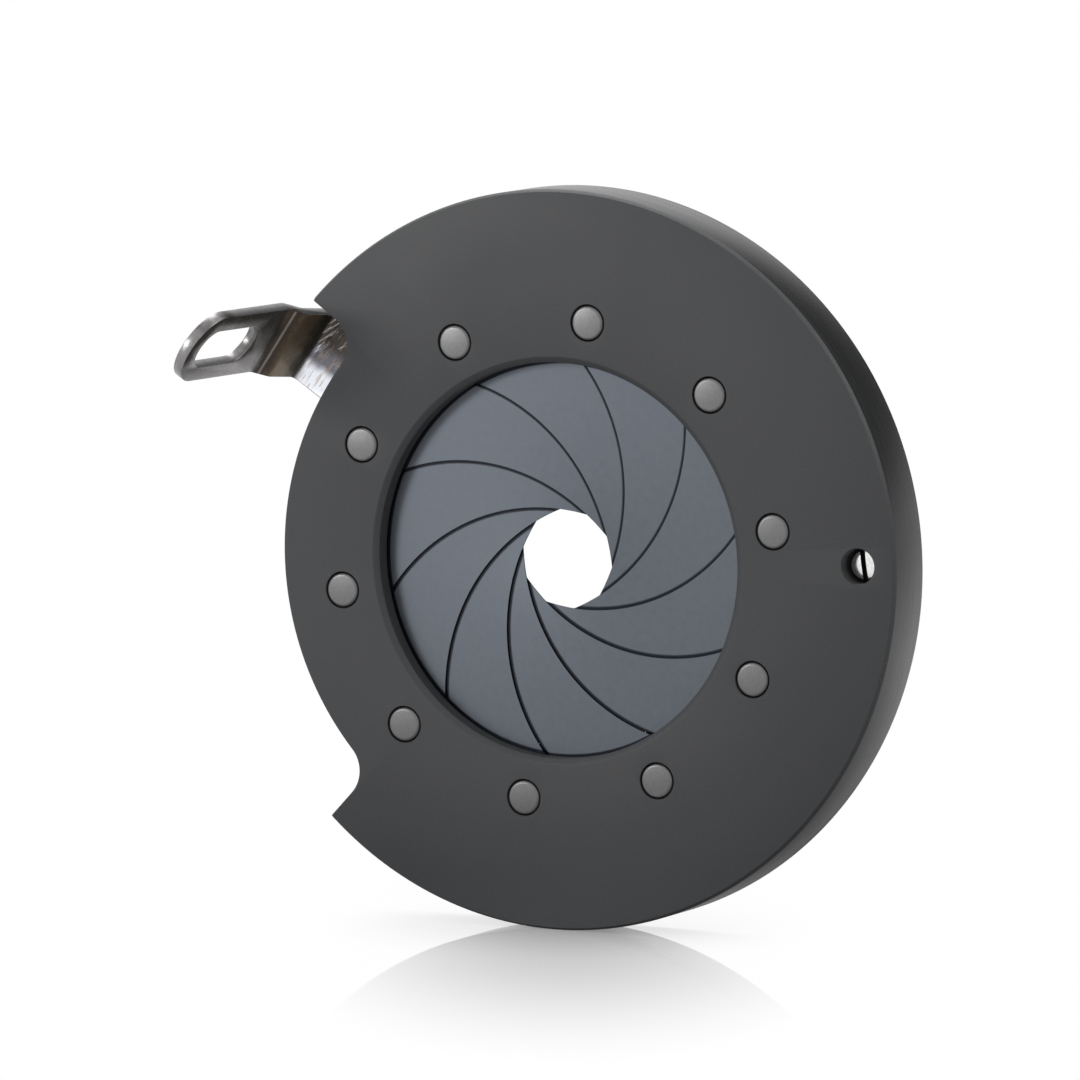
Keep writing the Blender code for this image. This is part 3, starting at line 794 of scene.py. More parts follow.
        # Fine tan streaks across the strip, left by the bending tool
        long_place = add_node(tree, "ShaderNodeMapping", {
            "Vector": turned, "Scale": (per_size(0.16), per_size(0.16), per_size(2.2))})
        streaks = add_node(tree, "ShaderNodeTexNoise", {
            "Vector": long_place, "Scale": 1.0, "Detail": 2.0})
        shown = add_node(tree, "ShaderNodeMapRange", {
            0: streaks, 1: 0.62, 2: 0.75, 3: 0.0, 4: 0.55})
        colour = add_node(tree, "ShaderNodeMix", {
            0: shown, 6: colour, 7: srgb(self.streak_tan)}, 2, data_type="RGBA")
        # Painted highlight: one light line along the crease where the bend was set
        off = add_node(tree, "ShaderNodeMath", {0: depth, 1: -self.crease_depth * MM})
        away = add_node(tree, "ShaderNodeMath", {0: off}, operation="ABSOLUTE")
        line = add_node(tree, "ShaderNodeMapRange", {
            0: away, 1: 0.05 * MM, 2: 0.12 * MM, 3: 0.9, 4: 0.0})
        # Only the rubbed foot shines as bare metal does; oil scale dulls the rest
        tree.links.new(add_node(tree, "ShaderNodeMapRange", {
            0: on_foot, 3: self.metallic, 4: self.foot_metallic}), shader.inputs["Metallic"])
        colour = add_node(tree, "ShaderNodeMix", {
            0: line, 6: colour, 7: srgb(self.crease)}, 2, data_type="RGBA")
        tree.links.new(colour, shader.inputs["Base Color"])
        tree.links.new(add_node(tree, "ShaderNodeMapRange", {
            0: cloud, 1: NOISE_LOW, 2: NOISE_HIGH,
            3: self.roughness - 0.06, 4: self.roughness + 0.08}), shader.inputs["Roughness"])
        tree.links.new(add_node(tree, "ShaderNodeBump", {
            "Height": streaks, "Distance": 0.008 * MM, "Strength": 0.25}),
            shader.inputs["Normal"])
        return material


@dataclass(frozen=True)
class ShearedEdge(Finish):
    """Cut sides of the lever's strip: bare steel, sheared then rubbed down, with fine marks."""

    name: str = "sheared steel edge"
    colour: str = "#807f80"
    metallic: float = 0.75
    roughness: float = 0.3
    light: str = "#8f8d8e"
    burnt: str = "#463d36"

    def material(self) -> bpy.types.Material:
        """Build the material.

        Returns:
            The material.
        """
        material, tree, shader, place = self.start()
        marks = add_node(tree, "ShaderNodeTexNoise", {
            "Vector": place, "Scale": per_size(0.3), "Detail": 3.0})
        share = add_node(tree, "ShaderNodeMapRange", {0: marks, 1: 0.35, 2: 0.65})
        toned = add_node(tree, "ShaderNodeMix", {
            0: share, 6: srgb(self.colour), 7: srgb(self.light)}, 2, data_type="RGBA")
        # Some of the oil's brown is left in patches
        patches = add_node(tree, "ShaderNodeTexNoise", {
            "Vector": place, "Scale": per_size(2.2), "Detail": 2.0})
        brown = add_node(tree, "ShaderNodeMapRange", {
            0: patches, 1: 0.55, 2: 0.7, 3: 0.0, 4: 0.7})
        colour = add_node(tree, "ShaderNodeMix", {
            0: brown, 6: toned, 7: srgb(self.burnt)}, 2, data_type="RGBA")
        tree.links.new(colour, shader.inputs["Base Color"])
        tree.links.new(add_node(tree, "ShaderNodeBump", {
            "Height": marks, "Distance": 0.01 * MM, "Strength": 0.25}),
            shader.inputs["Normal"])
        return material


@dataclass(frozen=True)
class PhosphatedSpring(Finish):
    """Spring steel, phosphated and oiled: dark grey, a little crystalline."""

    name: str = "phosphated spring steel"
    colour: str = "#343331"
    metallic: float = 0.6
    roughness: float = 0.45
    light: str = "#464442"

    def material(self) -> bpy.types.Material:
        """Build the material.

        Returns:
            The material.
        """
        material, tree, shader, place = self.start()
        # The crystals, drawn four times as coarse as they are so that they show
        crystals = add_node(tree, "ShaderNodeTexVoronoi", {
            "Vector": place, "Scale": per_size(0.12)}, "Distance")
        colour = add_node(tree, "ShaderNodeMix", {
            0: crystals, 6: srgb(self.colour), 7: srgb(self.light)}, 2, data_type="RGBA")
        tree.links.new(colour, shader.inputs["Base Color"])
        tree.links.new(add_node(tree, "ShaderNodeBump", {
            "Height": crystals, "Distance": 0.008 * MM, "Strength": 0.3}),
            shader.inputs["Normal"])
        return material


# Pieces


@dataclass
class Cup:
    """Turned cup: front plate, rim, bore, lever window, pin holes and screw hole."""

    rim_radius: float = 25.0
    face_radius: float = 24.83
    taper_depth: float = 0.31
    opening_radius: float = 13.375
    opening_chamfer: float = 0.4
    chamfer_depth: float = 0.25
    bore_radius: float = 20.5
    groove_radius: float = 20.85
    groove_gap: float = 0.03
    plate: float = 1.35
    rear_chamfer: float = 0.1
    window_middle: float = 181.8
    window_half: float = 45.25
    window_radius: float = 20.48
    window_fillet: float = 2.2
    relief: float = 0.15
    relief_front: float = 1.95
    screw_radius: float = 22.3
    screw_hole: float = 1.2
    pin_circle: float = 16.3
    first_pin: float = 81.65
    pin_hole: float = 1.25
    hole_chamfer: float = 0.03
    corner: float = 0.22
    overhang: float = 0.28
    edge: float = 0.03
    steps: int = 288

    def window_outline(self, fillet: float, widen: float) -> list[Vector]:
        """Outline of the window's cutter.

        Args:
            fillet: radius of the inner corners in millimetres; with none, the rim's corners
                stay sharp too and nothing overhangs.
            widen: how much wider than the window, on each side, in millimetres.

        Returns:
            Its points, for a window at angle 0, in millimetres.
        """
        half = math.radians(self.window_half) + widen / self.rim_radius
        lean = math.asin(fillet / (self.window_radius + fillet))
        steps, rounding, overhang = (14, self.corner, self.overhang) if fillet > 0.0 else (0, 0, 0)
        outer = self.rim_radius + PAST
        inside = [polar(self.window_radius + fillet, lean - half) + polar(fillet, turn)
                  for turn in (-half - math.pi / 2.0 - (math.pi / 2.0 - lean) * step
                               / max(steps, 1) for step in range(steps + 1))]
        lever_end = self.outer_corner(half - overhang / self.rim_radius, rounding, outer)
        far_end = self.outer_corner(half, rounding, outer)
        inner = ring_arc(self.window_radius, lean - half, half - lean, 90)[1:-1]
        mirrored = [Vector((point.x, 0.0, -point.z)) for point in reversed(far_end + inside)]
        rim = ring_arc(outer, math.atan2(-far_end[0].z, far_end[0].x),
                       math.atan2(lever_end[0].z, lever_end[0].x), 60)[1:-1]
        return lever_end + inside + inner + mirrored + rim

    def outer_corner(self, half: float, rounding: float, outer: float) -> list[Vector]:
        """Outline past the rim's corner at one end of the window, at the angle minus half.

        Args:
            half: half the window's span in radians.
            rounding: radius that rounds the rim's corner in millimetres.
            outer: radius where the outline starts in millimetres.

        Returns:
            Its points, from outside the rim inwards, in millimetres.
        """
        if rounding == 0.0:
            return [polar(outer, -half)]
        inward = polar(1.0, -half - math.pi / 2.0)
        reach = math.sqrt((self.rim_radius - rounding) ** 2 - rounding ** 2)
        centre = polar(reach, -half) + inward * rounding
        lean = math.atan2(centre.z, centre.x)
        points = [polar(outer, lean)]
        for step in range(CORNER_STEPS + 1):
            turn = lean + (-half + math.pi / 2.0 - lean) * step / CORNER_STEPS
            points.append(centre + polar(rounding, turn))
        return points

    def build(self, face: bpy.types.Material, turned: bpy.types.Material) -> None:
        """Model the cup.

        Args:
            face: finish of the flat faces and the bore.
            turned: finish of the rim.
        """
        depth = node_depths("housing")[1]
        snap_front, snap_rear = node_depths("snap_ring")
        cup = lathe("turned_cup", [
            (self.opening_radius + self.opening_chamfer, 0.0),
            (self.face_radius, 0.0),
            (self.rim_radius, self.taper_depth),
            (self.rim_radius, depth - self.rear_chamfer),
            (self.rim_radius - self.rear_chamfer, depth),
            (self.bore_radius, depth),
            (self.bore_radius, snap_rear + self.groove_gap),
            (self.groove_radius, snap_rear + self.groove_gap),
            (self.groove_radius, snap_front - self.groove_gap),
            (self.bore_radius, snap_front - self.groove_gap),
            (self.bore_radius, self.plate),
            (self.opening_radius, self.plate),
            (self.opening_radius, self.chamfer_depth),
        ], self.steps, Closing.RING)
        round_edges(cup, self.edge, 20.0)
        tools = [self.window_tool("window", self.window_fillet, 0.0, -PAST, depth + PAST),
                 self.window_tool("window_relief", 0.0, self.relief, self.relief_front,
                                  depth + PAST)]
        hole = drill("screw_hole", self.screw_hole, self.hole_chamfer, depth + PAST)
        middle = math.radians(self.window_middle) - math.pi
        hole.data.transform(Matrix.Translation(polar(self.screw_radius, middle) * MM))
        tools.append(hole)
        for number in range(BLADES):
            angle = math.radians(self.first_pin - 360.0 * number / BLADES)
            hole = drill(f"pin_hole_{number}", self.pin_hole, self.hole_chamfer,
                         self.plate + PAST)
            hole.data.transform(Matrix.Translation(polar(self.pin_circle, angle) * MM))
            tools.append(hole)
        combine(cup, tools)
        smooth(cup, 20.0)
        dress(cup, Body.CUP.value, ["housing"], "anodised_aluminium", face, turned)
        self.mark_rim(cup)

    def window_tool(self, name: str, fillet: float, widen: float, front: float,
                    rear: float) -> bpy.types.Object:
        """Cutter for the window, in its place.

        Args:
            name: name of the cutter.
            fillet: radius of the inner corners in millimetres.
            widen: how much wider than the window in millimetres.
            front: depth of the cutter's front in millimetres.
            rear: depth of its rear in millimetres.

        Returns:
            The cutter.
        """
        tool = block(name, self.window_outline(fillet, widen), front, rear)
        tool.data.transform(about_axis(math.radians(self.window_middle)))
        return tool

    def mark_rim(self, cup: bpy.types.Object) -> None:
        """Give the rim's faces the second finish.

        Args:
            cup: the finished cup.
        """
        for face in cup.data.polygons:
            reach = math.hypot(face.center.x, face.center.z)
            outward = (face.normal.x * face.center.x + face.normal.z * face.center.z) / reach
            if outward > 0.95 and reach > (self.face_radius - 0.1) * MM:
                face.material_index = 1


@dataclass
class SetScrew:
    """Slotted grub screw in the hole opposite the window."""

    radius: float = 1.05
    circle: float = 22.3
    angle: float = 1.8
    chamfer: float = 0.12
    dome: float = 0.07
    slot_width: float = 0.36
    slot_depth: float = 0.58
    slot_turn: float = 98.0

    def build(self, material: bpy.types.Material, cut: bpy.types.Material) -> None:
        """Model the screw.

        Args:
            material: its finish.
            cut: painted shade for the slot's walls and floor and the end's chamfer.
        """
        front, rear = node_depths("grub_screw")
        screw = lathe("set_screw", [
            (self.radius * 0.3, front),
            (self.radius * 0.6, front + self.dome * 0.3),
            (self.radius - self.chamfer, front + self.dome),
            (self.radius, front + self.dome + self.chamfer),
            (self.radius, rear - self.chamfer),
            (self.radius - self.chamfer, rear),
        ], 64, Closing.SOLID)
        half = self.slot_width / 2.0
        reach = self.radius + PAST
        slot = block("driver_slot", [Vector((-reach, 0.0, -half)), Vector((reach, 0.0, -half)),
                                     Vector((reach, 0.0, half)), Vector((-reach, 0.0, half))],
                     front - PAST, front + self.slot_depth)
        slot.data.transform(about_axis(math.radians(self.slot_turn)))
        combine(screw, [slot])
        smooth(screw)
        dress(screw, Body.CUP.value, ["grub_screw"], "bright_steel", material, cut)
        self.mark_slot(screw, front)
        screw.data.transform(Matrix.Translation(
            polar(self.circle, math.radians(self.angle)) * MM))

    def mark_slot(self, screw: bpy.types.Object, front: float) -> None:
        """Give the slot's walls and floor, and the end's chamfer, the second finish: painted shade.

        Args:
            screw: the screw, still on the optical axis.
            front: depth of its front end in millimetres.
        """
        edge = front + self.dome
        for face in screw.data.polygons:
            wall = abs(face.normal.y) < 0.3 and math.hypot(
                face.center.x, face.center.z) < (self.radius - 0.05) * MM
            if wall or edge < face.center.y / MM < front + self.slot_depth + 0.05:
                face.material_index = 1


@dataclass
class Blades:
    """Ten thin blades with a pivot pin in the front plate and a drive pin at the far end."""

    first_pin: float = 81.65
    pin_circle: float = 16.3
    inner_radius: float = 13.75
    rest_turn: float = 37.578235
    arc_span: float = 148.806769
    thickness: float = 0.075
    step: float = 0.13
    front: float = 1.43
    arc_share: float = 0.1
    cap: float = 2.494
    pin_radius: float = 1.15
    pin_rounding: float = 0.2
    pin_proud: float = 0.04
    drive_radius: float = 0.65
    tenon_radius: float = 0.4
    shoulder_gap: float = 0.015

    def arc_point(self, turn: float, radius: float) -> Vector:
        """Point on the blade's own arc, for a blade whose pivot is at angle 0.

        Args:
            turn: clockwise turn from the pivot about the arc's centre, in radians.
            radius: distance from the arc's centre in millimetres.

        Returns:
            The point in millimetres.
        """
        rest = math.radians(self.rest_turn)
        centre = polar(self.pin_circle, 0.0) + polar(self.pin_circle, math.pi - rest)
        return centre + polar(radius, -rest - turn)

    def clockwise(self, point: Vector) -> float:
        """Clockwise angle about the optical axis, from -60 to 300 degrees, in radians."""
        angle = -math.atan2(point.z, point.x)
        return angle + FULL_TURN if angle < -math.pi / 3.0 else angle

    def depth_at(self, turn: float, point: Vector) -> float:
        """Depth of the blade's front, rising like a shallow screw.

        Args:
            turn: clockwise turn along the blade's arc, in radians.
            point: the point in millimetres.

        Returns:
            The depth in millimetres.
        """
        span = math.radians(self.arc_span)
        end = self.clockwise(self.arc_point(span, self.pin_circle))
        mean = (1.0 - self.arc_share) * self.clockwise(point) + self.arc_share * turn * end / span
        return self.front + self.step * mean * BLADES / FULL_TURN

    def sheet_point(self, across: float, along: float) -> Vector:
        """Point of the blade's front.

        Args:
            across: 0 at the hollow edge, 1 at the outer edge.
            along: 0 at the pivot's end, 1 at the far end.

        Returns:
            The point in millimetres.
        """
        half = self.pin_circle - self.inner_radius
        length = math.radians(self.arc_span) * self.pin_circle
        reach = along * (length + 2.0 * self.cap) - self.cap
        beyond = max(-reach, reach - length, 0.0)
        wide = half * math.sqrt(1.0 - (beyond / half) ** 2)
        turn = reach / self.pin_circle
        point = self.arc_point(turn, self.pin_circle + (2.0 * across - 1.0) * wide)
        point.y = self.depth_at(turn, point)
        return point

    def pin_profiles(self) -> tuple[list[tuple[float, float]], list[tuple[float, float]]]:
        """Profiles of both pins.

        Returns:
            The pivot pin's and the drive pin's (radius, depth) points in millimetres.
        """
        span = math.radians(self.arc_span)
        near = self.depth_at(0.0, self.arc_point(0.0, self.pin_circle))
        far = self.depth_at(span, self.arc_point(span, self.pin_circle))
        shoulder = near - self.shoulder_gap
        flat = self.pin_radius - self.pin_rounding
        rear = node_depths("drive_ring")[1]
        pivot = [(flat + self.pin_rounding * math.sin(math.pi / 12.0 * step),
                  self.pin_rounding * (1.0 - math.cos(math.pi / 12.0 * step)) - self.pin_proud)
                 for step in range(7)]
        pivot += [(self.pin_radius, shoulder), (self.tenon_radius, shoulder),
                  (self.tenon_radius, near + self.thickness)]
        shoulder = far + self.thickness + self.shoulder_gap
        drive = [(self.tenon_radius, far), (self.tenon_radius, shoulder),
                 (self.drive_radius, shoulder), (self.drive_radius, rear - 0.1),
                 (self.drive_radius - 0.1, rear)]
        return pivot, drive

    def build(self, sheet: bpy.types.Material, pin: bpy.types.Material) -> None:
        """Model one blade and its pins, and copy them to their places.

        Args:
            sheet: finish of the blades.
            pin: finish of the pins.
        """
        blade = sheet_strip("blade_blank", 6, 144, Vector((0.0, self.thickness, 0.0)),
                            self.sheet_point)
        pivot_profile, drive_profile = self.pin_profiles()
        pivot = lathe("pivot_blank", pivot_profile, 64, Closing.SOLID)
        pivot.data.transform(Matrix.Translation(polar(self.pin_circle, 0.0) * MM))
        drive = lathe("drive_blank", drive_profile, 40, Closing.SOLID)
        far = self.arc_point(math.radians(self.arc_span), self.pin_circle)
        drive.data.transform(Matrix.Translation(far * MM))
        for item in (blade, pivot, drive):
            smooth(item, 25.0)
        for number in range(BLADES):
            place = about_axis(math.radians(self.first_pin - 360.0 * number / BLADES))
            mark = f"{number + 1:02d}"
            body = f"blade_{mark}"
            dress(copy_of(blade, f"sheet_{mark}", place), body, [body], "blued_steel", sheet)
            dress(copy_of(pivot, f"front_pin_{mark}", place), body, [f"pivot_pin_{mark}"],
                  "pin_steel", pin)
            dress(copy_of(drive, f"rear_pin_{mark}", place), body, [f"drive_pin_{mark}"],
                  "pin_steel", pin)
        for item in (blade, pivot, drive):
            bpy.data.objects.remove(item)


@dataclass
class SlottedRing:
    """Drive ring behind the blades, with ten radial slots for the drive pins."""

    inner_radius: float = 13.7
    outer_radius: float = 20.2
    slot_inner: float = 14.4
    slot_outer: float = 18.25
    slot_half: float = 1.062
    rivet_reach: float = 19.3
    rivet_offset: float = 1.65
    rivet_hole: float = 0.53
    lever_angle: float = 145.994
    edge: float = 0.05
    steps: int = 240

    def build(self, material: bpy.types.Material, first_slot: float) -> None:
        """Model the ring.

        Args:
            material: its finish.
            first_slot: angle of the first blade's slot in degrees.
        """
        front, rear = node_depths("drive_ring")
        ring = lathe("slotted_ring", [(self.inner_radius, front), (self.outer_radius, front),
                                      (self.outer_radius, rear), (self.inner_radius, rear)],
                     self.steps, Closing.RING)
        tools = []
        for number in range(BLADES):
            outline = []
            for middle, start in ((self.slot_outer - self.slot_half, -math.pi / 2.0),
                                  (self.slot_inner + self.slot_half, math.pi / 2.0)):
                outline += [polar(middle, 0.0) + point for point in
                            ring_arc(self.slot_half, start, start + math.pi, 16)]
            tool = block(f"slot_{number}", outline, front - PAST, rear + PAST)
            tool.data.transform(about_axis(math.radians(
                first_slot - 360.0 * number / BLADES)))
            tools.append(tool)
        for side in (-1.0, 1.0):
            hole = lathe(f"rivet_hole_{side:.0f}", [(self.rivet_hole, front - PAST),
                                                    (self.rivet_hole, rear + PAST)],
                         32, Closing.SOLID)
            place = Vector((self.rivet_reach, 0.0, side * self.rivet_offset)) * MM
            hole.data.transform(about_axis(math.radians(self.lever_angle))
                                @ Matrix.Translation(place))
            tools.append(hole)
        combine(ring, tools)
        round_edges(ring, self.edge, 40.0)
        smooth(ring)
        dress(ring, Body.RING.value, ["drive_ring"], "anodised_aluminium", material)


@dataclass
class Lever:
    """Bent strip riveted on the ring, with a slotted round-ended tab, and its two rivets."""

    angle: float = 145.994
    width: float = 5.32
    thickness: float = 0.75
    foot_start: float = 18.35
    neck: float = 24.5
    neck_bend: float = 0.55
    neck_end: float = 0.3
    neck_lean: float = 8.3
    crease: float = 0.5
    crease_outside: float = 1.2
    tab: float = 25.28
    tab_start: float = -1.2
    splay: float = 0.17
    tab_reach: float = 12.45
    slot_half: float = 1.47
    slot_near: float = 3.6
    slot_far: float = 11.12
    rivet_reach: float = 19.3
    rivet_offset: float = 1.65
    rivet_hole: float = 0.53
    rivet_radius: float = 0.45
    head_radius: float = 0.75
    head_height: float = 0.3
    head_gap: float = 0.04
    edge: float = 0.09
    # Round of a rivet's head: shares of its radius and of its height
    head_shape: Profile = ((1.0, 0.0), (0.96, 0.35), (0.82, 0.68), (0.55, 0.92), (0.2, 1.0))

    def profile(self, foot: float) -> list[Vector]:
        """Closed side view of the bent strip.

        Args:
            foot: depth of the foot's front face in millimetres.

        Returns:
            Its points as (radius, 0, depth), in millimetres.
        """
        lean = math.tan(math.radians(self.neck_lean)) * (foot - self.neck_end)
        inner = [Vector((self.foot_start, 0.0, foot)), Vector((self.neck - lean, 0.0, foot)),
                 Vector((self.neck, 0.0, self.neck_end)),
                 Vector((self.tab, 0.0, self.tab_start)),
                 Vector((self.tab + self.splay, 0.0, -self.tab_reach))]
        outer = []
        for place, point in enumerate(inner):
            before = point - inner[max(place - 1, 0)]
            after = inner[min(place + 1, len(inner) - 1)] - point
            ways = [way.normalized() for way in (before, after) if way.length > 0.0]
            middle = (ways[0] + ways[-1]).normalized()
            normal = Vector((-middle.z, 0.0, middle.x))
            outer.append(point + normal * self.thickness / middle.dot(ways[0]))
        tight, wide = self.crease, self.crease_outside
        roundings = [0.0, self.neck_bend, wide, tight, 0.0, 0.0, wide, tight,
                     self.neck_bend + self.thickness, 0.0]
        return rounded(inner + outer[::-1], roundings)

    def strip(self, foot: float) -> bpy.types.Object:
        """Bent strip, wider than the lever, for a lever at angle 0.

        Args:
            foot: depth of the foot's front face in millimetres.

        Returns:
            The strip with its thickness.
        """
        half = self.width / 2.0 + 0.6
        item = block("bent_lever", self.profile(foot), -half, half)
        # The side view was drawn facing the front: its height becomes the depth
        item.data.transform(Matrix(((1, 0, 0, 0), (0, 0, 1, 0), (0, -1, 0, 0), (0, 0, 0, 1))))
        return item

    def across_block(self, name: str, half: float, near: float, far: float,
                     start: float) -> bpy.types.Object:
        """Round-ended tool through the tab.

        Args:
            name: name of the tool.
            half: half its width in millimetres.
            near: depth of its rear end in millimetres.
            far: depth of its front end in millimetres.
            start: radius at which it starts in millimetres.

        Returns:
            The tool, reaching outwards past the tab.
        """
        outline = []
        for middle, first in ((near - half, 0.0), (far + half, math.pi)):
            outline += [Vector((point.x, 0.0, point.z + middle)) for point in
                        ring_arc(half, first, first + math.pi, 24)]
        tool = block(name, outline, start, self.tab + 2.5)
        # The plate was drawn facing the optical axis: its depth becomes the radius
        tool.data.transform(Matrix(((0, 1, 0, 0), (0, 0, 1, 0), (1, 0, 0, 0), (0, 0, 0, 1))))
        return tool

    def build(self, sheet: bpy.types.Material, edge: bpy.types.Material,
              bright: bpy.types.Material) -> None:
        """Model the lever and its rivets.

        Args:
            sheet: finish of the strip's faces.
            edge: finish of its cut sides.
            bright: finish of the rivets.
        """
        foot, back = node_depths("lever")[1] - self.thickness, node_depths("lever")[1]
        lever = self.strip(foot)
        half = self.width / 2.0
        combine(lever, [self.across_block("lever_outline", half, back + half + PAST,
                                          -self.tab_reach, self.foot_start - PAST)], "INTERSECT")
        tools = [self.across_block("tab_slot", self.slot_half, -self.slot_near, -self.slot_far,
                                   self.neck)]
        turn = about_axis(math.radians(self.angle))
        for side in (-1.0, 1.0):
            hole = lathe(f"lever_hole_{side:.0f}", [(self.rivet_hole, foot - PAST),
                                                    (self.rivet_hole, back + PAST)], 32,
                         Closing.SOLID)
            hole.data.transform(Matrix.Translation(
                Vector((self.rivet_reach, 0.0, side * self.rivet_offset)) * MM))
            tools.append(hole)
        combine(lever, tools)
        round_edges(lever, self.edge, 40.0)
        smooth(lever, 30.0)
        dress(lever, Body.RING.value, ["lever"], "browned_steel", sheet, edge)
        self.mark_cut_sides(lever)
        lever.data.transform(turn)
        self.build_rivets(back, turn, bright)

    def mark_cut_sides(self, lever: bpy.types.Object) -> None:
        """Give the outline's and the slot's walls the second finish.

        Args:
            lever: the lever, still at angle 0.
        """
        for face in lever.data.polygons:
            side_on = abs(face.normal.z) > 0.3
            in_tab = face.center.y < self.tab_start * MM
            if side_on or (in_tab and abs(face.normal.x) < 0.8):
                face.material_index = 1

    def build_rivets(self, back: float, turn: Matrix, material: bpy.types.Material) -> None:
        """Model the rivets.

        Args:
            back: depth of the lever's rear face in millimetres.
            turn: turn to the lever's angle.
            material: finish of the rivets.
        """
        front = node_depths("lever_rivet_1")[0]
        seat = back + self.head_gap
        head = [(self.head_radius * wide, seat + self.head_height * high)
                for wide, high in self.head_shape]
        blank = lathe("rivet_blank", [(self.rivet_radius, front), (self.rivet_radius, seat)] + head,
                      40, Closing.SOLID)
        smooth(blank)
        for number, side in enumerate((-1.0, 1.0), 1):
            place = Vector((self.rivet_reach, 0.0, side * self.rivet_offset)) * MM
            dress(copy_of(blank, f"round_head_rivet_{number}", turn @ Matrix.Translation(place)),
                  Body.RING.value, [f"lever_rivet_{number}"], "bright_steel", material)
        bpy.data.objects.remove(blank)


@dataclass
class RetainingRing:
    """Open spring ring in the bore's groove, with an eye at each end."""

    inner_radius: float = 19.25
    outer_radius: float = 20.75
    middle: float = 181.8
    half_gap: float = 46.7
    eye_radius: float = 0.4
    eye_inset: float = 1.0
    edge: float = 0.05

    def build(self, material: bpy.types.Material) -> None:
        """Model the ring.

        Args:
            material: its finish.
        """
        front, rear = node_depths("snap_ring")
        start = math.radians(self.half_gap)
        end = FULL_TURN - start
        outline = ring_arc(self.outer_radius, start, end, 160)
        outline += ring_arc(self.inner_radius, end, start, 160)
        ring = block("retaining_ring", outline, front, rear)
        centre = (self.inner_radius + self.outer_radius) / 2.0
        inset = self.eye_inset / centre
        eyes = []
        for number, angle in enumerate((start + inset, end - inset)):
            eye = lathe(f"eye_{number}", [(self.eye_radius, front - PAST),
                                          (self.eye_radius, rear + PAST)], 32, Closing.SOLID)
            eye.data.transform(Matrix.Translation(polar(centre, angle) * MM))
            eyes.append(eye)
        combine(ring, eyes)
        round_edges(ring, self.edge, 40.0)
        ring.data.transform(about_axis(math.radians(self.middle)))
        smooth(ring)
        dress(ring, Body.CUP.value, ["snap_ring"], "browned_steel", material)


@dataclass(frozen=True)
class Softbox:
    """Square soft light that faces the object; lengths in metres."""

    name: str
    place: tuple[float, float, float]
    size: float
    radiance: float

    def build(self) -> None:
        """Set up the light; a radiance of 1 is white paper in plain light."""
        lamp = bpy.data.lights.new(self.name, "AREA")
        lamp.shape = "SQUARE"
        lamp.size = self.size
        lamp.energy = self.radiance * math.pi * self.size * self.size
        light = bpy.data.objects.new(self.name, lamp)
        light.location = self.place
        light.rotation_euler = Vector(self.place).to_track_quat("Z", "Y").to_euler()
        bpy.context.scene.collection.objects.link(light)


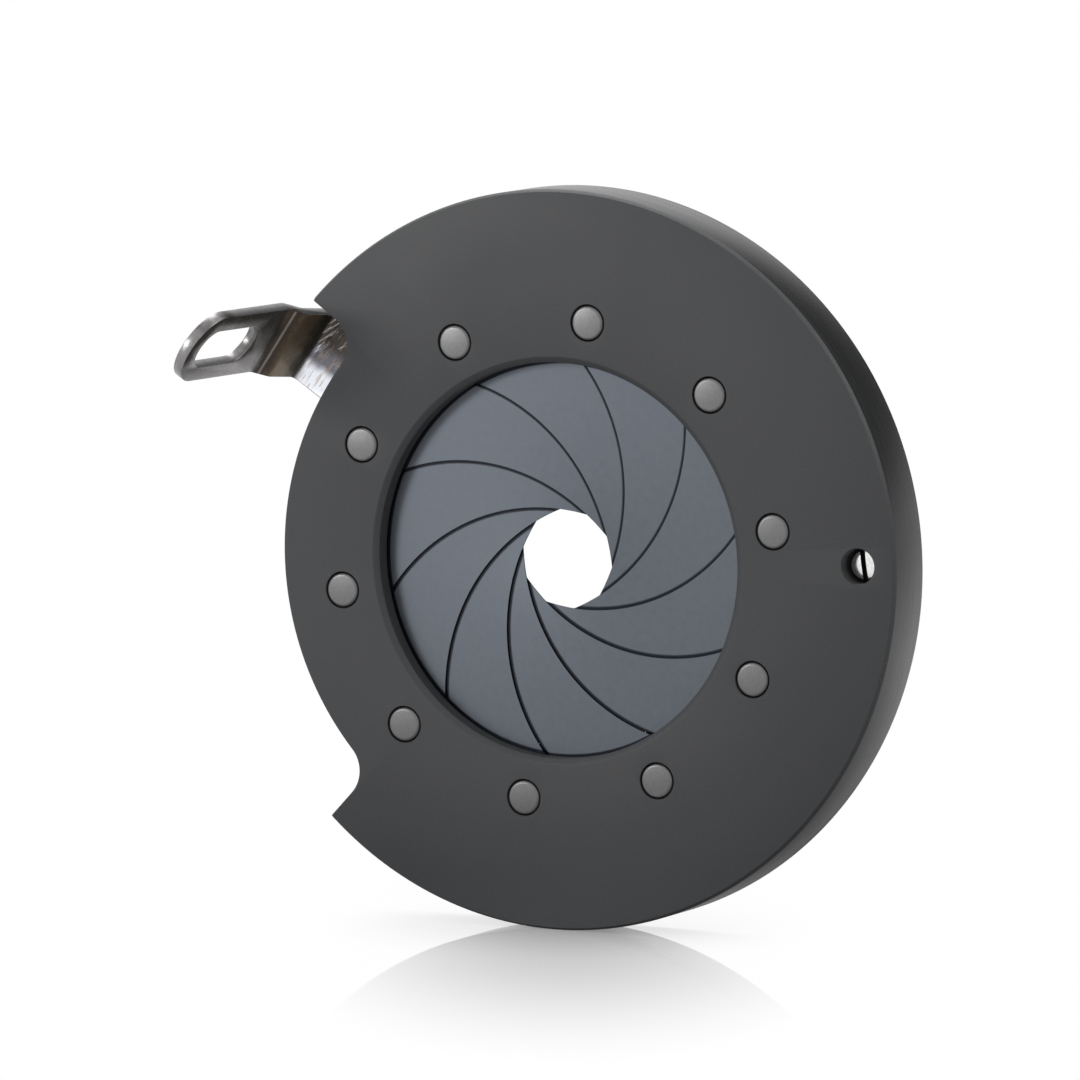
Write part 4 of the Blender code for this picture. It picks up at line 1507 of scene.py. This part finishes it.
@dataclass
class Studio:
    """Floor, lights, surroundings and camera; lengths in metres."""

    lights: tuple[Softbox, ...] = (
        Softbox("key", (-0.12, -0.17, 0.05), 0.06, 11.5),
        Softbox("right", (0.50, 0.07, 0.38), 0.30, 3.5),
        Softbox("top", (-0.16, 0.20, 0.56), 0.42, 4.0))
    floor_size: float = 30.0
    paper: str = "#f7f7f6"
    paper_thrown: str = "#767676"
    contact: tuple[float, float] = (0.0, 0.002)
    gloss_reach: float = 0.064
    gloss_share: float = 0.5
    gloss_width: float = 0.35
    gloss_turn: float = 26.1
    gloss_roughness: float = 0.03
    white_reach: float = 0.018
    least_white: float = 0.45
    reflected_reach: float = 0.09
    dark_side: tuple[float, float] = (0.03, 0.16)
    dark_share: float = 0.5
    room_white: str = "#fbfbfb"
    room_dark: str = "#1c1c1d"
    room_limits: tuple[tuple[int, float, float], ...] = (
        (0, -0.3, 0.1), (1, 0.5, 0.8), (2, -0.1, 0.22))
    camera_place: tuple[float, float, float] = (0.319970, -0.652854, 0.079062)
    camera_target: tuple[float, float, float] = (-0.0011443, 0.0, 0.0013766)
    fill: float = 0.44
    lens: float = 363.19
    sensor: float = 36.0

    def floor(self, height: float) -> None:
        """Pale floor, polished only round the point that the rim stands on.

        Args:
            height: its height in metres.
        """
        pick()
        bpy.ops.mesh.primitive_plane_add(size=self.floor_size, location=(0.0, 0.0, height))
        floor = settle(bpy.context.active_object, "floor")
        material = bpy.data.materials.new("white acrylic sheet")
        material.use_nodes = True
        tree = material.node_tree
        tree.nodes.clear()
        place = add_node(tree, "ShaderNodeTexCoord", output="Object")
        centred = add_node(tree, "ShaderNodeVectorMath",
                           {0: place, 1: (*self.contact, height)}, operation="SUBTRACT")
        reach = add_node(tree, "ShaderNodeVectorMath", {0: centred}, "Value",
                         operation="LENGTH")
        # The polished patch is long and narrow, so that the mirrored rim fades to its sides
        patch = add_node(tree, "ShaderNodeMapping", {
            "Vector": centred, "Rotation": (0.0, 0.0, math.radians(self.gloss_turn)),
            "Scale": (self.gloss_width, 1.0, 1.0)}, vector_type="TEXTURE")
        aside_reach = add_node(tree, "ShaderNodeVectorMath", {0: patch}, "Value",
                               operation="LENGTH")
        share = add_node(tree, "ShaderNodeMapRange", {
            0: aside_reach, 1: 0.0, 2: self.gloss_reach, 3: self.gloss_share, 4: 0.0},
            interpolation_type="SMOOTHSTEP")
        # Near the object it throws back less light than it shows, as a small sheet would
        rays = add_node(tree, "ShaderNodeLightPath").node.outputs
        camera = rays["Is Camera Ray"]
        paper_colour = add_node(tree, "ShaderNodeMix", {
            0: camera, 6: srgb(self.paper_thrown), 7: srgb(self.paper)}, 2, data_type="RGBA")
        matt = add_node(tree, "ShaderNodeBsdfDiffuse", {"Color": paper_colour})
        # Beyond the object's shadow the floor is white to the eye and in reflections
        seen = add_node(tree, "ShaderNodeMath", {0: rays["Is Diffuse Ray"], 1: 1.0},
                        operation="LESS_THAN")
        edge = add_node(tree, "ShaderNodeMapRange", {
            0: camera, 3: self.reflected_reach, 4: self.white_reach})
        least = add_node(tree, "ShaderNodeMapRange", {0: camera, 4: self.least_white})
        far = add_node(tree, "ShaderNodeMapRange", {
            0: reach, 1: 0.0, 2: edge, 3: least, 4: 1.0}, interpolation_type="SMOOTHSTEP")
        aside = add_node(tree, "ShaderNodeSeparateXYZ", {0: place})
        lit = add_node(tree, "ShaderNodeMapRange", {
            0: aside, 1: self.dark_side[0], 2: self.dark_side[1], 3: 1.0, 4: self.dark_share})
        kept = add_node(tree, "ShaderNodeMath", {0: lit, 1: camera}, operation="MAXIMUM")
        white = add_node(tree, "ShaderNodeMath", {
            0: add_node(tree, "ShaderNodeMath", {0: seen, 1: far}, operation="MULTIPLY"),
            1: kept}, operation="MULTIPLY")
        glow = add_node(tree, "ShaderNodeEmission", {"Strength": 1.0})
        paper = add_node(tree, "ShaderNodeMixShader", {0: white, 1: matt, 2: glow})
        gloss = add_node(tree, "ShaderNodeBsdfAnisotropic", {
            "Color": WHITE, "Roughness": self.gloss_roughness})
        surface = add_node(tree, "ShaderNodeMixShader", {0: share, 1: paper, 2: gloss})
        add_node(tree, "ShaderNodeOutputMaterial", {"Surface": surface})
        floor.data.materials.append(material)

    def surroundings(self) -> None:
        """White all round; mirrors also find a dim room behind, above and to the right."""
        world = bpy.data.worlds.new("studio")
        bpy.context.scene.world = world
        world.use_nodes = True
        tree = world.node_tree
        tree.nodes.clear()
        way = add_node(tree, "ShaderNodeTexCoord", output="Generated")
        sides = add_node(tree, "ShaderNodeSeparateXYZ", {0: way}).node.outputs
        share = 1.0
        for axis, start, end in self.room_limits:
            within = add_node(tree, "ShaderNodeMapRange", {0: sides[axis], 1: start, 2: end},
                              interpolation_type="SMOOTHSTEP")
            share = add_node(tree, "ShaderNodeMath", {0: share, 1: within},
                             operation="MULTIPLY")
        room = add_node(tree, "ShaderNodeMix", {
            0: share, 6: srgb(self.room_white), 7: srgb(self.room_dark)}, 2,
            data_type="RGBA")
        path = add_node(tree, "ShaderNodeLightPath").node.outputs
        seen = add_node(tree, "ShaderNodeMath", {
            0: path["Is Camera Ray"], 1: path["Is Transmission Ray"]}, operation="MAXIMUM")
        shown = add_node(tree, "ShaderNodeMix", {
            0: seen, 6: room, 7: WHITE}, 2, data_type="RGBA")
        clear = add_node(tree, "ShaderNodeMath", {0: seen, 1: path["Is Glossy Ray"]},
                         operation="MAXIMUM")
        strength = add_node(tree, "ShaderNodeMapRange", {0: clear, 3: self.fill, 4: 1.0})
        light = add_node(tree, "ShaderNodeBackground", {"Color": shown, "Strength": strength})
        add_node(tree, "ShaderNodeOutputWorld", {"Surface": light})

    def camera(self) -> None:
        """Camera at the photograph's place and angle."""
        data = bpy.data.cameras.new("camera")
        data.lens = self.lens
        data.sensor_width = self.sensor
        data.clip_start = 0.01
        data.clip_end = 100.0
        camera = bpy.data.objects.new("camera", data)
        camera.location = self.camera_place
        aim = Vector(self.camera_target) - Vector(self.camera_place)
        camera.rotation_euler = aim.to_track_quat("-Z", "Y").to_euler()
        bpy.context.scene.collection.objects.link(camera)
        bpy.context.scene.camera = camera

    def build(self, height: float) -> None:
        """Set up floor, lights, surroundings and camera.

        Args:
            height: height of the floor in metres.
        """
        self.floor(height)
        self.surroundings()
        for light in self.lights:
            light.build()
        self.camera()


def main() -> None:
    """Build every piece in order, then the studio."""
    logging.basicConfig(level=logging.INFO, format="%(name)s: %(message)s")
    blasted = BlackAnodised().material()
    turned = TurnedAnodised().material()
    bright = BrightSteel().material()
    Cup().build(blasted, turned)
    SetScrew().build(bright, PaintedSlotShade().material())
    blades = Blades()
    blades.build(BluedBlade().material(), TumbledPin().material())
    far = blades.arc_point(math.radians(blades.arc_span), blades.pin_circle)
    SlottedRing().build(blasted, blades.first_pin - math.degrees(blades.clockwise(far)))
    Lever().build(TemperedLever().material(), ShearedEdge().material(), bright)
    RetainingRing().build(PhosphatedSpring().material())
    Studio().build(FRAME_BOX[0].z)
    bpy.context.scene.view_settings.view_transform = "Standard"
    LOG.info("boxes written")


if __name__ == "__main__":
    main()
